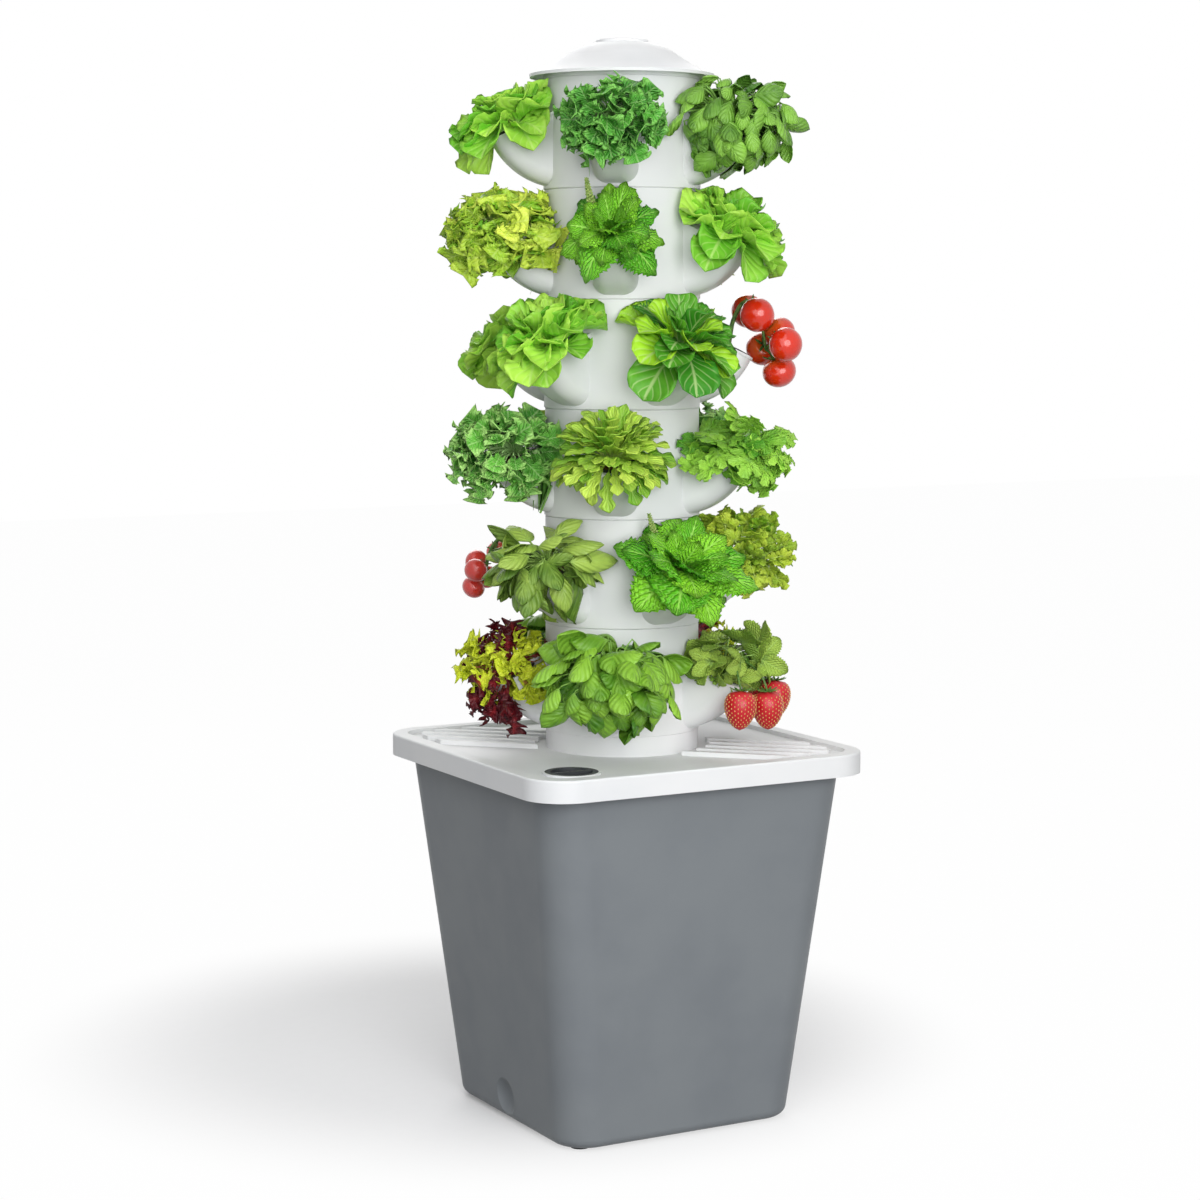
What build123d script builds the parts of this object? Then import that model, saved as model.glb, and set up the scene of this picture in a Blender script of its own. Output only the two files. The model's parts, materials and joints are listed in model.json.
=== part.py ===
from build123d import *
import os
from math import cos, degrees, hypot, atan2, radians, sin, sqrt

# A planted hydroponic tower, in millimetres.
# The origin is on the floor under the column's axis, +Z is up and the lid's sides lie along X and Y.
# Directions round the column are degrees from -Y, turning towards +X.

# Reservoir tub
FOOT_HEIGHT = 3
FOOT_RADIUS = 11
FOOT_INSET = 1
TUB_HEIGHT = 430
TUB_BASE = 302
TUB_MOUTH = 390
TUB_BASE_CORNER = 42
TUB_MOUTH_CORNER = 46
TUB_EDGE = 12
TUB_WALL = 3.5
RIM_HEIGHT = 15
RIM_LEDGE = 15
RIM_WALL = 3
RIM_CORNER = 45
DISH_RADIUS = 22
DISH_DEPTH = 8
DISH_LIFT = 3.5

# Reservoir lid, with its fill port in the front left corner
LID_CLEARANCE = 1
LID_WALL = 3
LID_EDGE = 2.4
LID_SKIRT = 25
LID_BORDER = 18
LID_DROP = 5
LID_RIB_WIDTH = 9
LID_RIB_STEP = 25
LID_RIB_COUNT = 5
LID_RIB_MARGIN = 12
PORT_RADIUS = 30
PORT_INSET = 53
PORT_LEDGE = 3
PORT_NECK = 2
PLUG_DEPTH = 11
PLUG_GRIP = 7

# Column and its tiers
TIER_COUNT = 6
TIER_HEIGHT = 124
POCKET_COUNT = 5
COLUMN_RADIUS = 90
COLUMN_DRAFT = 1.2
COLUMN_WALL = 2.5
SEAM_CHAMFER = 0.9
DECK = 3
SPIGOT_HEIGHT = 9
SPIGOT_WALL = 2.5
FIT = 0.3
RISER_HOLE = 18
DRIP_HOLE = 4
DRIP_RING = 66
SOCKET_HEIGHT = 22.5
SOCKET_FLANGE = 14
SOCKET_SKIRT = 9
COLUMN_TURN = -34
STAGGERED_TIERS = (3, 5)

# Planting pocket: an elbow that leaves the column and opens upwards
POCKET_WIDTH = 52
POCKET_REACH = 62
POCKET_LIP = 56
POCKET_ROOT = 4.5
POCKET_ROOT_ANGLE = 14
POCKET_CORNER = 18
POCKET_WALL = 2.5
POCKET_BEAD = 1.5
POCKET_BEAD_HEIGHT = 3
POCKET_OVERRUN_ANGLE = 8
POCKET_BACK_OVERLAP = 6

# Net cup and grow plug
CUP_RADIUS = 22.4
CUP_BASE_RADIUS = 13.5
CUP_DEPTH = 38
CUP_WALL = 1.6
CUP_FLANGE = 2.6
CUP_FLANGE_HEIGHT = 1.8
CUP_EDGE = 1
CUP_SLOTS = 8
CUP_SLOT_WIDTH = 5
CUP_SLOT_MARGIN = 6
CUP_DRAIN = 7

# Tower cap
CAP_OVERHANG = 16.7
CAP_HEIGHT = 40
CAP_LIFT = 5
CAP_WALL = 2.5
CAP_LIP = 3.5
CAP_WAIST = 66
CAP_WAIST_RISE = 0.57
CAP_FLARE_RISE = 0.24
CAP_DOME_RISE = 0.68
CAP_EDGE_INSET = 2.45
CROWN_RADIUS = 30
CROWN_WIDTH = 4
CROWN_HEIGHT = 3

# Water lift: pump, riser pipe, spray head and drip tray
PUMP_LENGTH = 92
PUMP_WIDTH = 62
PUMP_HEIGHT = 52
PUMP_CORNER = 9
PUMP_OFFSET = 14
SUCTION_HEIGHT = 6
SUCTION_RADIUS = 8
SUCTION_NECK = 4.8
SUCTION_INSET = 3
IMPELLER_RADIUS = 15
IMPELLER_LENGTH = 14
IMPELLER_HUB = 5
IMPELLER_BLADES = 6
BLADE_THICKNESS = 2
BLADE_ROOT = 1
SHAFT_RADIUS = 2
CHAMBER_GAP = 3
STRAINER_DEPTH = 12
STRAINER_WALL = 2.5
STRAINER_SLOTS = 7
DIAL_RADIUS = 9
DIAL_HEIGHT = 5
DIAL_BAR_WIDTH = 3
DIAL_BAR_HEIGHT = 3
DIAL_BAR_INSET = 1
OUTLET_BORE = 7
OUTLET_FLANGE = 16
OUTLET_FLANGE_HEIGHT = 4
OUTLET_LENGTH = 22
PIPE_RADIUS = 12.5
PIPE_WALL = 2
PIPE_FIT = 0.1
COUPLER_WALL = 3
COUPLER_LENGTH = 50
COUPLER_LIFT = 640
HEAD_RADIUS = 15.5
HEAD_HEIGHT = 14
HEAD_PORTS = 8
JET_RADIUS = 1.5
PIPE_PAST_DECK = 9
TRAY_RADIUS = 78
TRAY_HEIGHT = 6
TRAY_WALL = 2

# Foliage: how far the heads of leaves stay off the plastic, and their stems
LEAF_GAP = 1
STEM_RADIUS = 6
STEM_HEIGHT = 8
FRUIT_STALK = 2.2
KNOT_RISE = 34
KNOT_REACH = 8
HEAD_FOOT_SHARE = 0.35
HEAD_TOP_SHARE = 0.2
HEAD_LOWER = (0.82, 0.18)
HEAD_WAIST = 0.5
HEAD_UPPER = (0.74, 0.86)
BERRY_HALF_SHARE = 0.4
BERRY_WAIST = 0.35
BERRY_END_SHARE = 0.12

# Heights above the floor
Z_TUB = FOOT_HEIGHT
Z_RIM = Z_TUB + TUB_HEIGHT
Z_LEDGE = Z_RIM - RIM_HEIGHT
Z_FLOOR = Z_TUB + TUB_WALL
Z_LID = Z_RIM + LID_WALL
Z_PANEL = Z_LID - LID_DROP
Z_SOCKET = Z_PANEL + SOCKET_HEIGHT
Z_COLUMN_TOP = Z_SOCKET + TIER_COUNT * TIER_HEIGHT
Z_BRIM = Z_COLUMN_TOP + CAP_LIFT
Z_PUMP = Z_FLOOR + SUCTION_HEIGHT
Z_PUMP_TOP = Z_PUMP + PUMP_HEIGHT
Z_PIPE = Z_PUMP_TOP + OUTLET_FLANGE_HEIGHT
Z_PIPE_TOP = Z_COLUMN_TOP + PIPE_PAST_DECK
Z_SHAFT = Z_PUMP + PUMP_HEIGHT / 2

# Sizes that follow
LID_SIDE = TUB_MOUTH + 2 * (RIM_LEDGE + LID_CLEARANCE + LID_WALL)
LID_CORNER = RIM_CORNER + LID_CLEARANCE + LID_WALL
COLUMN_TOP_RADIUS = COLUMN_RADIUS - COLUMN_DRAFT
BORE = COLUMN_TOP_RADIUS - COLUMN_WALL
SPIGOT_RADIUS = BORE - FIT
SOCKET_HOLE = COLUMN_TOP_RADIUS - SOCKET_FLANGE + FIT

# The pocket's floor is an arc from the column's wall to the lip
CHORD_RISE = POCKET_LIP - POCKET_ROOT
CHORD = hypot(POCKET_REACH, CHORD_RISE)
CHORD_ANGLE = degrees(atan2(CHORD_RISE, POCKET_REACH))
ARC_RADIUS = CHORD / (2 * sin(radians(CHORD_ANGLE - POCKET_ROOT_ANGLE)))
ARC_R = COLUMN_RADIUS - ARC_RADIUS * sin(radians(POCKET_ROOT_ANGLE))
ARC_Z = POCKET_ROOT + ARC_RADIUS * cos(radians(POCKET_ROOT_ANGLE))
MOUTH_TILT = 90 - (2 * CHORD_ANGLE - POCKET_ROOT_ANGLE)
POCKET_SWEEP = 90 - POCKET_ROOT_ANGLE - MOUTH_TILT + POCKET_OVERRUN_ANGLE
MOUTH_BACK = (BORE - ARC_R) / cos(radians(MOUTH_TILT)) - POCKET_BACK_OVERLAP
CUP_HOLE = CUP_RADIUS + FIT
CUP_SEAT = ARC_RADIUS - POCKET_WIDTH / 2 - POCKET_BEAD
MOUTH = Pos(ARC_R, 0, ARC_Z) * Rot(0, MOUTH_TILT, 0)
CUP_PLACE = MOUTH * Pos(CUP_SEAT, 0, 0)


# A shape that stands on its place instead of round it
BASE = (Align.CENTER, Align.CENTER, Align.MIN)


def rounded_square(side, corner, height):
    return Pos(0, 0, height) * RectangleRounded(side, side, corner)


def tube(outer, inner, bottom, top):
    wall = Pos(0, 0, bottom) * (Circle(outer) - Circle(inner))
    return extrude(wall, top - bottom)


def disc(radius, bottom, top):
    return extrude(Pos(0, 0, bottom) * Circle(radius), top - bottom)


def ring_of(shape, count):
    return [Rot(0, 0, 360 * step / count) * shape for step in range(count)]


def lathe(points):
    return revolve(make_face(Polyline(*[(r, 0, z) for r, z in points], close=True)), Axis.Z)


# Reservoir
def tub_side(height):
    share = (height - Z_TUB) / (Z_LEDGE - Z_TUB)
    side = TUB_BASE + share * (TUB_MOUTH - TUB_BASE)
    corner = TUB_BASE_CORNER + share * (TUB_MOUTH_CORNER - TUB_BASE_CORNER)
    return side, corner


def tub_skin(bottom, top, inset):
    ends = []
    for height in (bottom, top):
        side, corner = tub_side(height)
        ends.append(rounded_square(side - 2 * inset, corner - inset, height))
    return loft(ends, ruled=True)


def reservoir_tub():
    shell = tub_skin(Z_TUB, Z_LEDGE, 0)
    shell = fillet(shell.faces().sort_by(Axis.Z)[0].edges(), TUB_EDGE)
    rim_side = TUB_MOUTH + 2 * RIM_LEDGE
    rim_inside = rounded_square(rim_side - 2 * RIM_WALL, RIM_CORNER - RIM_WALL, Z_LEDGE + TUB_WALL)
    rim = extrude(rounded_square(rim_side, RIM_CORNER, Z_LEDGE), RIM_HEIGHT) - extrude(rim_inside, RIM_HEIGHT)
    dish_height = Z_TUB + DISH_LIFT + DISH_RADIUS
    dish_sphere = (DISH_RADIUS**2 + DISH_DEPTH**2) / (2 * DISH_DEPTH)
    dish_middle = -tub_side(dish_height)[0] / 2 - dish_sphere + DISH_DEPTH
    dish_place = Pos(dish_middle, 0, dish_height) * Rot(0, 0, 180)
    water_room = tub_skin(Z_FLOOR, Z_LEDGE + TUB_WALL, TUB_WALL)
    water_room = fillet(water_room.faces().sort_by(Axis.Z)[0].edges(), TUB_EDGE - TUB_WALL)
    water_room -= dish_place * Sphere(dish_sphere + TUB_WALL)
    return shell + rim - water_room - dish_place * Sphere(dish_sphere)


def tub_feet():
    reach = TUB_BASE_CORNER - TUB_EDGE - FOOT_RADIUS - FOOT_INSET
    place = TUB_BASE / 2 - TUB_BASE_CORNER + reach / sqrt(2)
    foot = disc(FOOT_RADIUS, 0, FOOT_HEIGHT)
    return [Pos(x, y, 0) * foot for x in (-place, place) for y in (-place, place)]


def reservoir_lid():
    skirt_foot = Z_LID - LID_SKIRT
    inner_side = LID_SIDE - 2 * LID_BORDER
    inner_corner = LID_CORNER - LID_BORDER
    under_panel = Z_PANEL - LID_WALL
    lid = extrude(rounded_square(LID_SIDE, LID_CORNER, skirt_foot), LID_SKIRT)
    lid = fillet(lid.faces().sort_by(Axis.Z)[-1].edges(), LID_EDGE)
    under = rounded_square(LID_SIDE - 2 * LID_WALL, LID_CORNER - LID_WALL, skirt_foot)
    lid -= extrude(under, LID_SKIRT - LID_WALL)
    well = rounded_square(inner_side + 2 * LID_WALL, inner_corner + LID_WALL, under_panel)
    lid += extrude(well, LID_WALL + LID_DROP)
    lid -= extrude(rounded_square(inner_side, inner_corner, Z_PANEL), LID_DROP)
    lid += lid_ribs(inner_side, inner_corner)
    port = Pos(*port_place(), 0)
    lid += port * disc(PORT_RADIUS + LID_WALL, Z_PANEL, Z_PANEL + PORT_NECK)
    lid -= port * disc(PORT_RADIUS, Z_PANEL, Z_PANEL + PORT_NECK)
    lid -= port * disc(PORT_RADIUS - PORT_LEDGE, under_panel, Z_PANEL)
    return lid - disc(SOCKET_HOLE, under_panel, Z_PANEL)


def lid_ribs(inner_side, inner_corner):
    # Raised bars across the two side corners, square to the diagonal that runs through the fill port
    field = extrude(rounded_square(inner_side - 2 * LID_RIB_MARGIN, inner_corner, Z_PANEL), LID_DROP)
    field -= disc(COLUMN_RADIUS + LID_RIB_MARGIN, Z_PANEL, Z_LID)
    bars = []
    for index in range(LID_RIB_COUNT):
        offset = (index - (LID_RIB_COUNT - 1) / 2) * LID_RIB_STEP
        bar = Box(2 * LID_SIDE, LID_RIB_WIDTH, LID_DROP, align=BASE)
        bars.append(Rot(0, 0, -45) * Pos(0, offset, Z_PANEL) * bar)
    return [piece for bar in bars for piece in (bar & field).solids()]


def port_place():
    reach = LID_SIDE / 2 - LID_BORDER - PORT_INSET
    return -reach, -reach


def fill_cap():
    head_radius = PORT_RADIUS - FIT
    body_radius = PORT_RADIUS - PORT_LEDGE - FIT
    top = Z_PANEL + PORT_NECK
    plug = disc(head_radius, Z_PANEL, top) + disc(body_radius, Z_PANEL - PLUG_DEPTH, Z_PANEL)
    well = body_radius - LID_WALL
    scoop = disc(well, Z_PANEL - PLUG_DEPTH + LID_WALL, top)
    grip = Pos(0, 0, top) * Box(2 * well, PLUG_GRIP, 2 * PLUG_DEPTH)
    plug -= scoop - grip
    return Pos(*port_place(), 0) * plug


# Column
def column_head(height):
    # Perforated deck, and the spigot that the next piece turns on
    head = tube(SPIGOT_RADIUS, SPIGOT_RADIUS - SPIGOT_WALL, height - DECK / 2, height + SPIGOT_HEIGHT)
    return chamfer(head.edges().group_by(Axis.Z)[-1].sort_by(Edge.length)[-1], SPIGOT_WALL / 3)


def deck_holes(height):
    drip = Pos(DRIP_RING, 0, 0) * disc(DRIP_HOLE, height - 2 * DECK, height + DECK)
    return [disc(RISER_HOLE, height - 2 * DECK, height + DECK)] + ring_of(drip, 2 * POCKET_COUNT)


def tower_socket():
    flange_top = Z_PANEL + DECK
    lower = SOCKET_HOLE - FIT
    wall = tube(COLUMN_TOP_RADIUS, BORE, Z_PANEL, Z_SOCKET)
    flange = tube(COLUMN_TOP_RADIUS, lower - SPIGOT_WALL, Z_PANEL, flange_top)
    skirt = tube(lower, lower - SPIGOT_WALL, Z_PANEL - SOCKET_SKIRT, flange_top)
    deck = disc(COLUMN_TOP_RADIUS, Z_SOCKET - DECK, Z_SOCKET)
    return wall + flange + skirt + deck + column_head(Z_SOCKET) - deck_holes(Z_SOCKET)


def pocket_section(grow):
    # The section lies in the mouth's plane, with X running out from the elbow's centre
    width = POCKET_WIDTH + 2 * grow
    reach = ARC_RADIUS + grow
    long = Pos((MOUTH_BACK + reach) / 2, 0) * Rectangle(reach - MOUTH_BACK, width)
    return fillet(long.vertices().group_by(Axis.X)[-1], POCKET_CORNER + grow)


def pocket_elbow(grow):
    return MOUTH * revolve(pocket_section(grow), Axis.Y, revolution_arc=POCKET_SWEEP)


def pocket_shell():
    bead = MOUTH * extrude(pocket_section(POCKET_BEAD), -POCKET_BEAD_HEIGHT)
    return pocket_elbow(0) + bead


def pocket_hollow():
    mouth_plate = Box(3 * ARC_RADIUS, 2 * POCKET_WIDTH, 2 * POCKET_BEAD_HEIGHT)
    mouth_plate = MOUTH * Pos(ARC_RADIUS / 2, 0, 0) * mouth_plate
    cup_hole = CUP_PLACE * disc(CUP_HOLE, -POCKET_WIDTH / 2, POCKET_WIDTH)
    return pocket_elbow(-POCKET_WALL) - mouth_plate + cup_hole


def tier_core():
    # The tapered round of one tier, with a chamfer at each seam
    wall = [(0, 0), (COLUMN_RADIUS - SEAM_CHAMFER, 0), (COLUMN_RADIUS, SEAM_CHAMFER)]
    wall += [(COLUMN_TOP_RADIUS, TIER_HEIGHT - SEAM_CHAMFER), (COLUMN_TOP_RADIUS - SEAM_CHAMFER, TIER_HEIGHT)]
    return lathe(wall + [(0, TIER_HEIGHT)])


def tier_body():
    body = tier_core() - disc(BORE, 0, TIER_HEIGHT - DECK)
    body -= ring_of(pocket_hollow(), POCKET_COUNT)
    return body + column_head(TIER_HEIGHT) - deck_holes(TIER_HEIGHT)


def tier_pocket():
    return pocket_shell() - pocket_hollow() - tier_core()


def net_cup():
    floor = -CUP_DEPTH
    inner_floor = floor + CUP_WALL
    flange = CUP_RADIUS + CUP_FLANGE
    outline = [(CUP_DRAIN, floor), (CUP_BASE_RADIUS, floor), (CUP_RADIUS, 0), (flange, 0)]
    outline += [(flange, CUP_FLANGE_HEIGHT), (CUP_RADIUS - CUP_WALL, CUP_FLANGE_HEIGHT)]
    outline += [(CUP_BASE_RADIUS - CUP_WALL, inner_floor), (CUP_DRAIN, inner_floor)]
    slot_height = CUP_DEPTH - 2 * CUP_SLOT_MARGIN
    slot = Box(CUP_RADIUS, CUP_SLOT_WIDTH, slot_height, align=(Align.MIN, Align.CENTER, Align.CENTER))
    slot = Pos(CUP_DRAIN, 0, -CUP_DEPTH / 2) * slot
    return CUP_PLACE * (lathe(outline) - ring_of(slot, CUP_SLOTS))


def plug_radius(height):
    share = (height + CUP_DEPTH - CUP_WALL) / (CUP_DEPTH - CUP_WALL + CUP_FLANGE_HEIGHT)
    return CUP_BASE_RADIUS + share * (CUP_RADIUS - CUP_BASE_RADIUS) - CUP_WALL - FIT


def grow_plug():
    floor = CUP_WALL - CUP_DEPTH
    outline = [(0, floor), (plug_radius(floor), floor), (plug_radius(CUP_EDGE), CUP_EDGE), (0, CUP_EDGE)]
    return CUP_PLACE * lathe(outline)


def cap_arc(start, middle, end):
    return ThreePointArc(*[(r, 0, z) for r, z in (start, middle, end)])


def cap_form(drop, trim):
    # A flared bell: hollow curve from the brim to the waist, round curve from the waist to the crown
    brim_radius = COLUMN_TOP_RADIUS + CAP_OVERHANG - trim
    brim = Z_BRIM + CAP_LIP / 3 - drop
    foot = Z_BRIM - 2 * CAP_LIP / 3 - drop
    shoulder = Z_BRIM + CAP_HEIGHT - CROWN_HEIGHT - drop
    waist = (CAP_WAIST, brim + CAP_WAIST_RISE * (shoulder - brim))
    flare = ((brim_radius + CAP_WAIST) / 2, brim + CAP_FLARE_RISE * (shoulder - brim))
    dome = ((CAP_WAIST + CROWN_RADIUS) / 2, waist[1] + CAP_DOME_RISE * (shoulder - waist[1]))
    edges = [cap_arc((brim_radius, brim), flare, waist), cap_arc(waist, dome, (CROWN_RADIUS, shoulder))]
    corners = [(CROWN_RADIUS, 0, shoulder), (0, 0, shoulder), (0, 0, foot), (brim_radius, 0, foot)]
    edges.append(Polyline(*corners, (brim_radius, 0, brim)))
    return revolve(make_face(edges), Axis.Z)


def tower_cap():
    bell = cap_form(0, 0)
    shell = bell - cap_form(CAP_WALL, CAP_EDGE_INSET)
    neck = tube(COLUMN_TOP_RADIUS, BORE, Z_COLUMN_TOP, Z_BRIM + CAP_HEIGHT) & bell_and_below(bell)
    top = Z_BRIM + CAP_HEIGHT
    crown = tube(CROWN_RADIUS, CROWN_RADIUS - CROWN_WIDTH, top - CROWN_HEIGHT - CAP_WALL / 2, top)
    crown = fillet(crown.edges().group_by(Axis.Z)[-1], CROWN_WIDTH / 3)
    return shell + neck + crown


def bell_and_below(bell):
    return bell + disc(COLUMN_RADIUS, Z_COLUMN_TOP, Z_BRIM)


# Water lift
def pump_housing():
    block = Pos(-PUMP_OFFSET, 0, Z_PUMP) * Box(PUMP_LENGTH, PUMP_WIDTH, PUMP_HEIGHT, align=BASE)
    block = fillet(block.edges().filter_by(Axis.X).group_by(Axis.Z)[-1], PUMP_CORNER)
    chamber = shaft_place(0) * disc(IMPELLER_RADIUS + CHAMBER_GAP, 0, IMPELLER_LENGTH + CHAMBER_GAP)
    socket = shaft_place(IMPELLER_LENGTH + CHAMBER_GAP) * disc(SHAFT_RADIUS + PIPE_FIT, 0, IMPELLER_LENGTH)
    bore = disc(OUTLET_BORE, Z_SHAFT, Z_PUMP_TOP)
    gallery_end = PUMP_LENGTH / 2 + PUMP_OFFSET + OUTLET_BORE / 2
    gallery = shaft_place(IMPELLER_LENGTH) * disc(OUTLET_BORE / 2, 0, gallery_end - IMPELLER_LENGTH)
    return block - chamber - socket - bore - Pos(0, 0, IMPELLER_RADIUS) * gallery


def shaft_place(depth):
    # Along the shaft, inwards from the intake end
    return Pos(depth - PUMP_OFFSET - PUMP_LENGTH / 2, 0, Z_SHAFT) * Rot(0, 90, 0)


def pump_strainer():
    side = PUMP_WIDTH - 2 * PUMP_CORNER
    tall = PUMP_HEIGHT - PUMP_CORNER
    place = shaft_place(-STRAINER_DEPTH)
    box = place * extrude(Rectangle(tall, side), STRAINER_DEPTH)
    hollow = shaft_place(STRAINER_WALL - STRAINER_DEPTH)
    box -= hollow * extrude(Rectangle(tall - 2 * STRAINER_WALL, side - 2 * STRAINER_WALL), STRAINER_DEPTH)
    pitch = (side - 2 * STRAINER_WALL) / STRAINER_SLOTS
    slot = Rectangle(tall - 4 * STRAINER_WALL, pitch / 2)
    for index in range(STRAINER_SLOTS):
        box -= place * extrude(Pos(0, (index - (STRAINER_SLOTS - 1) / 2) * pitch) * slot, STRAINER_WALL)
    return box


def pump_impeller():
    start = shaft_place(CHAMBER_GAP / 2)
    span = IMPELLER_RADIUS - IMPELLER_HUB + BLADE_ROOT
    blade = Box(span, BLADE_THICKNESS, IMPELLER_LENGTH, align=(Align.MIN, Align.CENTER, Align.MIN))
    blade = Pos(IMPELLER_HUB - BLADE_ROOT, 0, 0) * blade
    wheel = disc(IMPELLER_HUB, 0, IMPELLER_LENGTH) + ring_of(blade, IMPELLER_BLADES)
    return start * (wheel - disc(SHAFT_RADIUS + PIPE_FIT, 0, IMPELLER_LENGTH))


def impeller_shaft():
    length = 2 * IMPELLER_LENGTH + CHAMBER_GAP
    return shaft_place(0) * disc(SHAFT_RADIUS, 0, length)


def flow_dial():
    knob = disc(DIAL_RADIUS, 0, DIAL_HEIGHT)
    bar_length = 2 * (DIAL_RADIUS - DIAL_BAR_INSET)
    knob += Pos(0, 0, DIAL_HEIGHT) * Box(bar_length, DIAL_BAR_WIDTH, 2 * DIAL_BAR_HEIGHT)
    return dial_place() * knob


def dial_place():
    return Pos(0, -PUMP_WIDTH / 2 - FIT, Z_SHAFT) * Rot(90, 0, 0)


def pump_suction_cups():
    inset = SUCTION_RADIUS + SUCTION_INSET
    cup = Cone(SUCTION_RADIUS, SUCTION_NECK, SUCTION_HEIGHT, align=BASE)
    spots = [(x, y) for x in (-1, 1) for y in (-1, 1)]
    length = PUMP_LENGTH / 2 - inset
    width = PUMP_WIDTH / 2 - inset
    return [Pos(x * length - PUMP_OFFSET, y * width, Z_FLOOR) * cup for x, y in spots]


def pump_outlet():
    nozzle = PIPE_RADIUS - PIPE_WALL - PIPE_FIT
    flange = tube(OUTLET_FLANGE, OUTLET_BORE, Z_PUMP_TOP, Z_PIPE)
    return flange + tube(nozzle, OUTLET_BORE, Z_PUMP_TOP, Z_PIPE + OUTLET_LENGTH)


def riser_pipes():
    bore = PIPE_RADIUS - PIPE_WALL
    return [tube(PIPE_RADIUS, bore, Z_PIPE, COUPLER_LIFT), tube(PIPE_RADIUS, bore, COUPLER_LIFT, Z_PIPE_TOP)]


def riser_coupler():
    bore = PIPE_RADIUS + PIPE_FIT
    half = COUPLER_LENGTH / 2
    return tube(bore + COUPLER_WALL, bore, COUPLER_LIFT - half, COUPLER_LIFT + half)


def spray_head():
    bore = PIPE_RADIUS + PIPE_FIT
    skirt_foot = Z_PIPE_TOP - HEAD_HEIGHT / 2
    top = Z_PIPE_TOP + HEAD_HEIGHT / 2
    head = disc(HEAD_RADIUS, skirt_foot, top) - disc(bore, skirt_foot, Z_PIPE_TOP)
    head -= disc(PIPE_RADIUS - PIPE_WALL, Z_PIPE_TOP, top - PIPE_WALL)
    jet = Rot(0, 90, 0) * Cylinder(JET_RADIUS, HEAD_RADIUS, align=BASE)
    jet = Pos(0, 0, Z_PIPE_TOP + HEAD_HEIGHT / 5) * jet
    return head - ring_of(jet, HEAD_PORTS)


def drip_tray():
    floor = Z_COLUMN_TOP
    top = floor + TRAY_HEIGHT
    tray = disc(TRAY_RADIUS, floor, top) - disc(TRAY_RADIUS - TRAY_WALL, floor + TRAY_WALL, top)
    tray += disc(RISER_HOLE + TRAY_WALL, floor, top)
    drip = Pos(DRIP_RING, 0, 0) * disc(DRIP_HOLE / 2, floor, top)
    return tray - disc(RISER_HOLE, floor, top) - ring_of(drip, 4 * POCKET_COUNT)


# Plants
def leaf_head(centre, spread, low, high):
    # A round head of leaves over a pocket, flat towards the column and hollowed where the pocket is
    tall = high - low
    half = spread / 2
    foot = (HEAD_FOOT_SHARE * half, 0, low)
    waist = (half, 0, low + HEAD_WAIST * tall)
    crown = (HEAD_TOP_SHARE * half, 0, high)
    lower = ThreePointArc(foot, (HEAD_LOWER[0] * half, 0, low + HEAD_LOWER[1] * tall), waist)
    upper = ThreePointArc(waist, (HEAD_UPPER[0] * half, 0, low + HEAD_UPPER[1] * tall), crown)
    core = Polyline(crown, (0, 0, high), (0, 0, low), foot)
    head = Pos(centre, 0, 0) * revolve(make_face([lower, upper, core]), Axis.Z)
    head -= Pos(COLUMN_RADIUS + LEAF_GAP - spread, 0, low) * Box(2 * spread, 2 * spread, 2 * tall)
    head -= pocket_room()
    stem = CUP_PLACE * disc(STEM_RADIUS, CUP_EDGE, CUP_FLANGE_HEIGHT + STEM_HEIGHT)
    return (head + stem).solids().sort_by(SortBy.VOLUME)[-1]


def pocket_room():
    grow = POCKET_BEAD + LEAF_GAP
    above = MOUTH * extrude(pocket_section(grow), CUP_FLANGE_HEIGHT + LEAF_GAP)
    return pocket_elbow(grow) + above


def fruit_truss(radius, spots):
    # A vine from the plug, with round fruit hung along it
    root = (CUP_PLACE * Pos(0, 0, CUP_EDGE)).position
    knot = Vector(root.X + KNOT_REACH, 0, root.Z + KNOT_RISE)
    truss = CUP_PLACE * disc(STEM_RADIUS, CUP_EDGE, CUP_EDGE + 2 * STEM_RADIUS)
    truss += stalk(root + Vector(0, 0, STEM_RADIUS / 3), knot) + Pos(knot) * Sphere(2 * FRUIT_STALK)
    for x, y, z in spots:
        centre = Vector(x, y, z)
        truss += Pos(centre) * Sphere(radius)
        truss += stalk(knot, centre)
    return truss


def stalk(start, end):
    run = end - start
    return Plane(origin=start, z_dir=run) * Cylinder(FRUIT_STALK, run.length, align=BASE)


def strawberry():
    # Broad shoulders and a blunt tip, hanging from its top
    shoulder = (BERRY_END_SHARE * STRAWBERRY_LENGTH, 0, 0)
    waist = (BERRY_HALF_SHARE * STRAWBERRY_LENGTH, 0, -BERRY_WAIST * STRAWBERRY_LENGTH)
    tip = (BERRY_END_SHARE * STRAWBERRY_LENGTH, 0, -STRAWBERRY_LENGTH)
    side = ThreePointArc(shoulder, waist, tip)
    core = Polyline(tip, (0, 0, -STRAWBERRY_LENGTH), (0, 0, 0), shoulder)
    return revolve(make_face([side, core]), Axis.Z)


def strawberry_plant(centre, spread, low, high):
    plant = leaf_head(centre, spread, low, high)
    heart = Vector(centre, 0, (low + high) / 2)
    for x, y, z in STRAWBERRIES:
        plant += Pos(x, y, z) * strawberry()
        plant += stalk(Vector(x, y, z - FRUIT_STALK / 2), heart)
    return plant


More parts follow.
